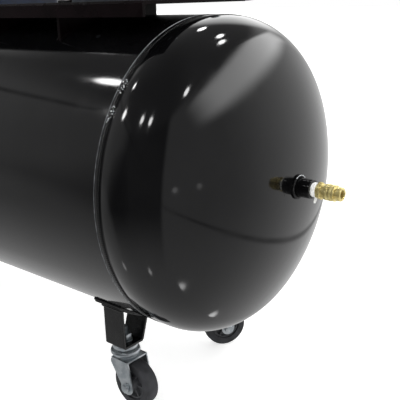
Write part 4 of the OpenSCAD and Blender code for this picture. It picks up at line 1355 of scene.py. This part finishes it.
    def build_tyre(self, name: str, place: Matrix) -> None:
        """Builds one tyre, with round shoulders and a slightly crowned tread.

        Args:
            name: the corner that the caster stands at.
            place: the caster's place.
        """
        r, half, inner, bend = self.wheel_r, self.tyre_w / 2, self.wheel_r - self.tyre_t, self.shoulder_r
        side = [(inner, -half + 0.8 * MM), (inner + 0.8 * MM, -half), (r - 6.5 * MM, -half),
                *arc((r - 5.2 * MM, -half + bend), (bend, bend), -90, 0, 8),
                (r - 0.25 * MM, -3 * MM), (r, -0.6 * MM)]
        mesh = turned(f"tyre_{name}_look", side + [(radius, -z) for radius, z in reversed(side)],
                      place @ placed((self.trail, 0, r), Axis.ACROSS), 96, 40)
        self.publish(mesh, f"tyre_{name}_look", RUBBER, "rubber_grey", f"wheel_{name}", [f"tyre_{name}"])

    def build_hub(self, name: str, place: Matrix) -> None:
        """Builds one ribbed hub.

        Args:
            name: the corner that the caster stands at.
            place: the caster's place.
        """
        axis = place @ placed((self.trail, 0, self.wheel_r), Axis.ACROSS)
        rim_r, boss_r, bore = self.wheel_r - self.tyre_t, self.boss_r, self.axle_r + 0.06 * MM
        web, rim, boss = 3 * MM, self.tyre_w / 2 - 3 * MM, self.hub_w / 2
        side = [(bore, -boss), (boss_r, -boss), (boss_r, -web), (rim_r - 3.5 * MM, -web),
                (rim_r - 3 * MM, -rim), (rim_r, -rim)]
        profile = rounded(side + [(radius, -z) for radius, z in reversed(side)], 1.0 * MM, 2)
        rib = bmesh.new()
        block(rib, (-7.2 * MM, -1 * MM, -rim + 1 * MM), (7.2 * MM, 1 * MM, rim - 1 * MM))
        ribs = Repeat(f"hub_ribs_{name}", finished_mesh(rib, "hub_rib", 30), HUB_NYLON).on_arc(6, 15 * MM)
        ribs.transform(axis)
        mesh = joined([turned("hub", profile, axis, 72, 34), ribs], f"hub_{name}_look", 34)
        self.publish(mesh, f"hub_{name}_look", HUB_NYLON, "hub_grey", f"wheel_{name}", [f"hub_{name}"])


@dataclass
class Legs(SubAssembly):
    """Saddle straps and U brackets, with the welds that hold them."""

    tank_r: float = 225.0 * MM
    strap_t: float = 5.0 * MM
    strap_w: float = 52.0 * MM
    bracket_w: float = 40.0 * MM
    bracket_y: float = 129.0 * MM
    dressings: tuple[Dressing, ...] = (
        Dressing("leg_saddles", BRACKET_ENAMEL, "frame_black", 1.0, smooth_deg=40.0),
        Dressing("leg_brackets", BRACKET_ENAMEL, "frame_black", 1.1),
    )

    def __post_init__(self) -> None:
        """Finds the height of the tank's axis in the frame."""
        self.tank_z = middle("tank_shell").z

    def build(self) -> None:
        """Finishes the straps and brackets and lays their welds."""
        super().build()
        low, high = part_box("leg_saddles")
        half = math.asin(high.y / (self.tank_r + self.strap_t))
        wide, out = self.strap_w, 1.2 * MM
        paths = []
        for x0 in (low.x, high.x - wide):
            for x in (x0 - 0.5 * MM, x0 + wide + 0.5 * MM):
                paths.append([self.on_tank(x, half * (2 * i / 40 - 1), out) for i in range(41)])
            for a in (-half - 0.003, half + 0.003):
                paths.append([self.on_tank(x0 + wide * i / 8, a, out) for i in range(9)])
        self.weld("saddle_welds", paths, 4.2 * MM, BRACKET_ENAMEL, "frame_black")
        low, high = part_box("leg_brackets")
        flank = math.asin(self.bracket_y / (self.tank_r + self.strap_t)) + 0.004
        seats = [[self.on_tank(x0 + self.bracket_w * i / 8, a, self.strap_t + 0.6 * MM) for i in range(9)]
                 for x0 in (low.x, high.x - self.bracket_w) for a in (-flank, flank)]
        self.weld("bracket_welds", seats, 4.0 * MM, BRACKET_ENAMEL, "frame_black")

    def on_tank(self, x: float, angle: float, out: float) -> Vector:
        """Works out a point near the tank's skin.

        Args:
            x: where the point lies along the tank.
            angle: its angle from straight down.
            out: how far it is lifted off the skin.

        Returns:
            The point.
        """
        r = self.tank_r + out
        return Vector((x, r * math.sin(angle), self.tank_z - r * math.cos(angle)))


@dataclass
class Deck(SubAssembly):
    """The deck plate on its webs, and the bolts that hold motor and pump."""

    tank_r: float = 225.0 * MM
    web_t: float = 6.0 * MM
    dressings: tuple[Dressing, ...] = (
        Dressing("deck_plate", DECK_ENAMEL, "deck_black", 0.9),
        Dressing("deck_webs", DECK_ENAMEL, "deck_black", 0.6),
        Dressing("deck_bolts", ZINC, "zinc", 0.5),
    )

    def build(self) -> None:
        """Finishes the plate, webs and bolts, and welds both sides of the outer webs to the tank."""
        super().build()
        low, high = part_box("deck_webs")
        tank_z = middle("tank_shell").z
        paths = []
        for x0 in (low.x, high.x - self.web_t):
            for x in (x0 - 0.8 * MM, x0 + self.web_t + 0.8 * MM):
                points = []
                for i in range(25):
                    y = low.y + (high.y - low.y) * i / 24
                    points.append(Vector((x, y, tank_z + math.sqrt(self.tank_r ** 2 - y * y) + 1.0 * MM)))
                paths.append(points)
        self.weld("web_welds", paths, 4.5 * MM, DECK_ENAMEL, "deck_black")


@dataclass
class Motor(SubAssembly):
    """The electric motor, its fan and pulley, and the terminal box."""

    shield_pitch_r: float = 60.0 * MM
    lid_pitch: float = 80.0 * MM
    mirrored: bool = False
    dressings: tuple[Dressing, ...] = (
        Dressing("motor_frame", MOTOR_ENAMEL, "motor_paint", 0.5),
        Dressing("motor_shields", MOTOR_ENAMEL, "motor_paint", 1.6),
        Dressing("motor_fan_cover", BLACK_ABS, "black_plastic", 0.8),
        Dressing("motor_fan", BLACK_ABS, "black_plastic", 0.4, "motor_shaft"),
        Dressing("motor_rotor", GROUND_STEEL, "steel", 0.8, "motor_shaft"),
        Dressing("motor_pulley", CAST_IRON, "cast_iron", 0.6, "motor_shaft"),
        Dressing("terminal_box", MOTOR_ENAMEL, "motor_paint", 1.4),
        Dressing("terminal_lid", MOTOR_ENAMEL, "motor_paint", 1.6),
        Dressing("cable_gland", BLACK_ABS, "black_plastic", 0.5),
    )

    def build(self) -> None:
        """Finishes the castings and covers, and adds the screws of the rear shield and the terminal lid."""
        super().build()
        centre = middle("motor_shields")
        centre.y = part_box("motor_shields")[1].y
        ring = Repeat("shield_screws", screw_head(6 * MM, 5 * MM, 9 * MM), ZINC).on_arc(
            4, self.shield_pitch_r, 45)
        ring.transform(placed(centre, Axis.ACROSS))
        flange = middle("terminal_lid")
        flange.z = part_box("terminal_lid")[1].z - 3 * MM
        grid = Repeat("lid_screws", screw_head(4.5 * MM, 3.5 * MM, 7 * MM), ZINC).on_grid(
            (2, 2), (self.lid_pitch, self.lid_pitch))
        grid.transform(Matrix.Translation(flange))
        self.publish(joined([ring, grid], "motor_screws", 30), "motor_screws", ZINC, "zinc")


@dataclass
class Pump(SubAssembly):
    """The two-cylinder pump with its flywheel, filters and discharge tube."""

    cover_pitch_r: float = 61.0 * MM
    flange_t: float = 8.0 * MM
    mirrored: bool = False
    dressings: tuple[Dressing, ...] = (
        Dressing("crankcase", CAST_ENAMEL, "cast_paint", 2.2),
        Dressing("crankcase_cover", CAST_ENAMEL, "cast_paint", 1.6),
        Dressing("cylinders", CAST_ENAMEL, "cast_paint", 0.5),
        Dressing("cylinder_heads", CAST_ALUMINIUM, "alloy", 0.6),
        Dressing("oil_cap", BLACK_ABS, "black_plastic", 0.8),
        Dressing("air_filters", BLACK_ABS, "black_plastic", 1.0),
        Dressing("flywheel", CAST_IRON, "cast_iron", 1.0, "crank"),
        Dressing("crankshaft", GROUND_STEEL, "steel", 0.8, "crank"),
        Dressing("crank_bearings", GROUND_STEEL, "steel", 0.5),
        Dressing("piston_right", CAST_ALUMINIUM, "alloy", 0.5, "piston_right_body"),
        Dressing("piston_left", CAST_ALUMINIUM, "alloy", 0.5, "piston_left_body"),
        Dressing("discharge_tube", COPPER, "copper_tube", 0.2),
    )

    def build(self) -> None:
        """Finishes the castings, and adds the ring of bolts round the crankcase cover."""
        super().build()
        centre = middle("crankcase_cover")
        centre.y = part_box("crankcase_cover")[0].y + self.flange_t
        ring = Repeat("cover_bolts", screw_head(8 * MM, 6.5 * MM, 12 * MM), ZINC).on_arc(
            8, self.cover_pitch_r, 22.5)
        ring.transform(placed(centre, Axis.FORWARD))
        self.publish(joined([ring], "crankcase_bolts", 30), "crankcase_bolts", ZINC, "zinc")


@dataclass
class Drive(SubAssembly):
    """The V-belt and its guard."""

    mirrored: bool = False
    dressings: tuple[Dressing, ...] = (
        Dressing("drive_belt", BELT_RUBBER, "belt_rubber", 0.8, sharp_deg=60.0),
        Dressing("belt_guard", DECK_ENAMEL, "deck_black", 0.4, sharp_deg=60.0),
    )


@dataclass
class Controls(SubAssembly):
    """Valves, pressure switch, gauge and regulator on the tank, and the drain under it."""

    dial_r: float = 22.0 * MM
    tick_pitch_r: float = 18.0 * MM
    dressings: tuple[Dressing, ...] = (
        Dressing("check_valve", BRASS, "brass", 0.7),
        Dressing("manifold", BRASS, "brass", 0.7),
        Dressing("safety_valve", BRASS, "brass", 0.7),
        Dressing("drain_cock", BRASS, "brass", 0.7),
        Dressing("drain_handle", BRASS, "brass", 0.5, "drain_handle_body"),
        Dressing("pressure_switch", BLACK_ABS, "black_plastic", 2.5),
        Dressing("switch_knob", RED_ABS, "red_plastic", 1.2, "switch_knob_body"),
        Dressing("regulator_knob", BLACK_ABS, "black_plastic", 1.0, "regulator_knob_body"),
        Dressing("safety_ring", GROUND_STEEL, "steel", 0.3, "safety_ring_body"),
        Dressing("unloader_tube", AIR_TUBE, "tube_plastic", 0.1),
        Dressing("tank_gauge", GROUND_STEEL, "steel", 0.8),
        Dressing("gauge_needle", BLACK_ABS, "black_plastic", 0.1, "needle"),
    )

    def build(self) -> None:
        """Finishes the fittings and builds the gauge's dial card with its ticks."""
        super().build()
        centre = middle("tank_gauge")
        centre.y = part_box("gauge_needle")[1].y + 1.2 * MM
        card = [(1.5 * MM, 0), (self.dial_r, 0), (self.dial_r, 0.6 * MM), (1.5 * MM, 0.6 * MM)]
        mesh = turned("gauge_dial", card, placed(centre + Vector((0, 0.8 * MM, 0)), Axis.FORWARD), 64)
        self.publish(mesh, "gauge_dial", DIAL_CARD, "tape_white")
        tick = bmesh.new()
        block(tick, (-2.2 * MM, -0.35 * MM, 0), (2.2 * MM, 0.35 * MM, 0.15 * MM))
        ticks = Repeat("dial_ticks", finished_mesh(tick, "dial_tick"), BLACK_ABS).on_arc(
            11, self.tick_pitch_r, -45, 270)
        ticks.transform(placed(centre + Vector((0, 0.2 * MM, 0)), Axis.FORWARD))
        self.publish(joined([ticks], "gauge_ticks"), "gauge_ticks", BLACK_ABS, "black_plastic")


# ---------------------------------------------------------------- studio


@dataclass(frozen=True)
class Lobe:
    """A smooth step of light round one direction of the room.

    The light goes from low to high while the cosine of the angle from the direction goes from start to end.
    """

    aim: tuple[float, float, float]
    start: float
    end: float
    low: float
    high: float

    def light(self, tree: Tree, where: Socket) -> Socket:
        """Adds the lobe to the room.

        Args:
            tree: the world's node tree.
            where: the direction that is looked at.

        Returns:
            The lobe's light.
        """
        agree = add_node(tree, "ShaderNodeVectorMath", {"operation": "DOT_PRODUCT"}, {
            0: where, 1: Vector(self.aim).normalized()})
        return add_node(tree, "ShaderNodeMapRange", {"interpolation_type": "SMOOTHSTEP"}, {
            "Value": agree.outputs["Value"], "From Min": self.start, "From Max": self.end,
            "To Min": self.low, "To Max": self.high}).outputs["Result"]


@dataclass(frozen=True)
class Band:
    """A level band along a distant wall of the room.

    Each edge is a pair of slopes, which is height over the wall's distance, and the band fades between them.
    """

    wall: tuple[float, float, float]
    foot: Point
    head: Point

    def share(self, tree: Tree, where: Socket) -> Socket:
        """Adds the band to the room.

        Args:
            tree: the world's node tree.
            where: the direction that is looked at.

        Returns:
            A value of 1 within the band and 0 outside it.
        """
        height, distance = (
            add_node(tree, "ShaderNodeVectorMath", {"operation": "DOT_PRODUCT"}, {
                0: where, 1: Vector(way).normalized()}).outputs["Value"]
            for way in ((0.0, 0.0, 1.0), self.wall))
        slope = add_node(tree, "ShaderNodeMath", {"operation": "DIVIDE"}, {0: height, 1: distance}).outputs[0]
        fades = [add_node(tree, "ShaderNodeMapRange", {"interpolation_type": "SMOOTHSTEP"}, {
            "Value": slope, "From Min": edge[0], "From Max": edge[1], "To Min": below, "To Max": above,
        }).outputs["Result"] for edge, below, above in ((self.foot, 0.0, 1.0), (self.head, 1.0, 0.0))]
        return add_node(tree, "ShaderNodeMath", {"operation": "MULTIPLY"}, dict(enumerate(fades))).outputs[0]


@dataclass
class Room:
    """The light of the room round the object, which its glossy enamel mirrors.

    The room is bright behind the outlet end and dim in front. A glint is a small lamp low in the room,
    given by its direction's two angles, its spread and its light.
    """

    back_wall: Lobe = Lobe((0.26, 0.97, 0.0), -0.22, -0.06, 0.1, 0.54)
    back_glow: Lobe = Lobe((0.26, 0.97, 0.0), 0.45, 1.0, 0.0, 0.48)
    front_dusk: Lobe = Lobe((-0.42, -0.9, -0.1), 0.86, 0.99, 1.0, 0.4)
    left_gate: Lobe = Lobe((-0.78, -0.5, 0.38), 0.76, 0.98, 1.0, 4.2)
    low_left: Lobe = Lobe((-0.85, -0.35, -0.5), 0.87, 0.96, 0.0, 0.26)
    ceiling_edge: Lobe = Lobe((0.0, 0.0, 1.0), 0.5, 0.64, 0.0, 1.0)
    ceiling: Lobe = Lobe((0.26, 0.97, 0.0), -0.2, 0.3, 0.17, 0.27)
    ground_edge: Lobe = Lobe((0.0, 0.0, 1.0), -0.2, -0.85, 0.0, 1.0)
    ground: Lobe = Lobe((0.26, 0.97, 0.0), 0.3, 1.0, 0.7, 1.08)
    skirting: Band = Band((0.643, 0.766, 0.0), (-0.68, -0.645), (-0.635, -0.6))
    skirting_tone: float = 0.45
    windows: Band = Band((0.73, 0.68, 0.0), (0.38, 0.52), (0.68, 0.78))
    window_bay: Lobe = Lobe((0.57, 0.68, 0.47), 0.68, 0.93, 0.0, 3.9)
    far_window: Lobe = Lobe((-0.4, 0.77, 0.5), 0.93, 0.985, 0.0, 2.2)
    glints: tuple[tuple[float, float, float, float], ...] = (
        (-139.0, -45.0, 0.0014, 1.8), (-68.0, -53.0, 0.0014, 4.0), (0.0, -53.0, 0.0010, 7.5),
        (57.0, -62.0, 0.0010, 5.0), (-13.0, -6.0, 0.0004, 1.6), (-1.0, -6.0, 0.0004, 1.2))
    matt_light: float = 0.98
    backdrop: float = 1.0

    def build(self) -> None:
        """Builds the world: the mirrored room, an even light on matt pieces and a white backdrop."""
        world = bpy.data.worlds.new("studio_world")
        bpy.context.scene.world = world
        world.use_nodes = True
        tree = world.node_tree
        tree.nodes.clear()
        where = add_node(tree, "ShaderNodeTexCoord").outputs["Generated"]
        mirrored = self.lamps(tree, where, self.walls(tree, where))
        path = add_node(tree, "ShaderNodeLightPath").outputs
        light = add_node(tree, "ShaderNodeMix", {"data_type": "FLOAT"}, {
            0: path["Is Diffuse Ray"], 2: mirrored, 3: self.matt_light}).outputs[0]
        lit, seen = (
            add_node(tree, "ShaderNodeBackground", None, {
                "Color": linear("#ffffff"), "Strength": strength}).outputs[0]
            for strength in (light, self.backdrop))
        mix = add_node(tree, "ShaderNodeMixShader", None, {0: path["Is Camera Ray"], 1: lit, 2: seen})
        add_node(tree, "ShaderNodeOutputWorld", None, {"Surface": mix.outputs[0]})

    def walls(self, tree: Tree, where: Socket) -> Socket:
        """Builds the walls with the ceiling over them, the ground below and the dark skirting line.

        Args:
            tree: the world's node tree.
            where: the direction that is looked at.

        Returns:
            The light of the bare room.
        """
        room = self.back_wall.light(tree, where)
        for operation, lobe in (("ADD", self.back_glow), ("MULTIPLY", self.front_dusk),
                                ("MULTIPLY", self.left_gate), ("ADD", self.low_left)):
            room = add_node(tree, "ShaderNodeMath", {"operation": operation}, {
                0: room, 1: lobe.light(tree, where)}).outputs[0]
        for edge, beyond in ((self.ceiling_edge, self.ceiling), (self.ground_edge, self.ground)):
            room = add_node(tree, "ShaderNodeMix", {"data_type": "FLOAT"}, {
                0: edge.light(tree, where), 2: room, 3: beyond.light(tree, where)}).outputs[0]
        tone = add_node(tree, "ShaderNodeMath", {"operation": "MULTIPLY_ADD"}, {
            0: self.skirting.share(tree, where), 1: self.skirting_tone - 1.0, 2: 1.0}).outputs[0]
        return add_node(tree, "ShaderNodeMath", {"operation": "MULTIPLY"}, {0: room, 1: tone}).outputs[0]

    def lamps(self, tree: Tree, where: Socket, room: Socket) -> Socket:
        """Adds the windows and the glints.

        Args:
            tree: the world's node tree.
            where: the direction that is looked at.
            room: the light of the bare room.

        Returns:
            The light of the whole room.
        """
        windows = add_node(tree, "ShaderNodeMath", {"operation": "MULTIPLY"}, {
            0: self.windows.share(tree, where), 1: self.window_bay.light(tree, where)}).outputs[0]
        lights = [self.far_window.light(tree, where), windows]
        for azimuth, rise, spread, strength in self.glints:
            a, h = math.radians(azimuth), math.radians(rise)
            aim = (math.cos(a) * math.cos(h), math.sin(a) * math.cos(h), math.sin(h))
            lights.append(Lobe(aim, 1.0 - spread, 1.0 - spread * 0.2, 0.0, strength).light(tree, where))
        for light in lights:
            room = add_node(tree, "ShaderNodeMath", {"operation": "ADD"}, {0: room, 1: light}).outputs[0]
        return room


@dataclass
class Studio:
    """A pale floor, soft light, and one camera at standing distance from the outlet end.

    A lamp is a size and a power, and all ceiling lamps but the first share one.
    """

    eye: tuple[float, float, float] = (1.1072, -0.7259, 0.6006)
    yaw: float = 0.6996
    pitch: float = 0.2951
    roll: float = -0.0278
    lens_mm: float = 59.45
    sensor_mm: float = 36.0
    near_clip: float = 0.02
    floor_half: float = 30.0
    floor_t: float = 0.02
    overhead: Point = (5.0, 26.0)
    sky_power: float = 0.4
    sky_deg: float = 120.0
    first_lamp: Point = (0.12, 1.0)
    other_lamps: Point = (0.19, 2.2)
    lamp_aim: tuple[float, float, float] = (0.45, 0.0, 0.45)
    ceiling: tuple[tuple[float, float, float], ...] = (
        (-0.82, -0.5, 1.69), (-0.71, -1.04, 1.45), (0.53, -1.5, 1.7), (1.08, -1.42, 1.67),
        (1.93, -0.23, 1.7), (-0.01, 0.78, 2.04), (0.85, 0.85, 2.08), (1.17, 0.82, 2.01))

    def build(self) -> None:
        """Builds the floor, the room, the lamps and the camera."""
        bpy.context.scene.view_settings.view_transform = "Standard"
        self.build_floor()
        Room().build()
        self.build_lamps()
        self.build_camera()

    def build_floor(self) -> None:
        """Builds the pale matt floor, which glossy pieces don't mirror."""
        bm = bmesh.new()
        half = self.floor_half
        block(bm, (-half, -half, -self.floor_t), (half, half, 0.0))
        floor = bpy.data.objects.new("studio_floor", finished_mesh(bm, "studio_floor"))
        floor.data.materials.append(STUDIO_PAPER.material())
        floor.visible_glossy = False
        bpy.context.scene.collection.objects.link(floor)

    def hang(self, data: bpy.types.Light, power: float, place: Sequence[float], aim: Sequence[float],
             mirrored: bool) -> None:
        """Puts one lamp into the studio.

        Args:
            data: the lamp's settings.
            power: how strong it is.
            place: where it hangs.
            aim: the point that it is turned to.
            mirrored: whether glossy pieces mirror it.
        """
        data.energy = power
        lamp = bpy.data.objects.new(data.name, data)
        turn = (Vector(aim) - Vector(place)).to_track_quat("-Z", "Y").to_matrix().to_4x4()
        lamp.matrix_world = Matrix.Translation(place) @ turn
        lamp.visible_glossy = mirrored
        bpy.context.scene.collection.objects.link(lamp)

    def build_lamps(self) -> None:
        """Builds a broad overhead lamp, a soft sky, and the ceiling lamps that give the enamel its glints."""
        lamps = [("overhead", (0.3, 0.2, 4.2), (0.3, 0.0, 0.0), self.overhead, False)]
        for number, place in enumerate(self.ceiling):
            kind = self.other_lamps if number else self.first_lamp
            lamps.append((f"ceiling_{number}", place, self.lamp_aim, kind, True))
        for name, place, aim, (size, power), mirrored in lamps:
            data = bpy.data.lights.new(name, "AREA")
            data.shape = "DISK"
            data.size = size
            self.hang(data, power, place, aim, mirrored)
        sky = bpy.data.lights.new("skylight", "SUN")
        sky.angle = math.radians(self.sky_deg)
        self.hang(sky, self.sky_power, (0.0, 0.0, 0.0), (0.0, 0.0, -1.0), False)

    def build_camera(self) -> None:
        """Builds the camera from its place and its three turns."""
        yaw, pitch, roll = self.yaw, self.pitch, self.roll
        ahead = Vector((-math.sin(yaw) * math.cos(pitch), math.cos(yaw) * math.cos(pitch), -math.sin(pitch)))
        level = Vector((math.cos(yaw), math.sin(yaw), 0.0))
        upright = level.cross(ahead)
        right = level * math.cos(roll) + upright * math.sin(roll)
        up = upright * math.cos(roll) - level * math.sin(roll)
        data = bpy.data.cameras.new("camera")
        data.lens = self.lens_mm
        data.sensor_width = self.sensor_mm
        data.clip_start = self.near_clip
        camera = bpy.data.objects.new("camera", data)
        camera.matrix_world = Matrix.Translation(self.eye) @ Matrix((right, up, -ahead)).transposed().to_4x4()
        bpy.context.scene.collection.objects.link(camera)
        bpy.context.scene.camera = camera


def main() -> None:
    """Builds the studio and every sub-assembly, in order."""
    logging.basicConfig(level=logging.INFO, format="%(name)s: %(message)s")
    Studio().build()
    for group in (Tank(), Outlet(), Casters(), Legs(), Deck(), Motor(), Pump(), Drive(), Controls()):
        LOG.info("building %s", type(group).__name__)
        group.build()


if __name__ == "__main__":
    main()
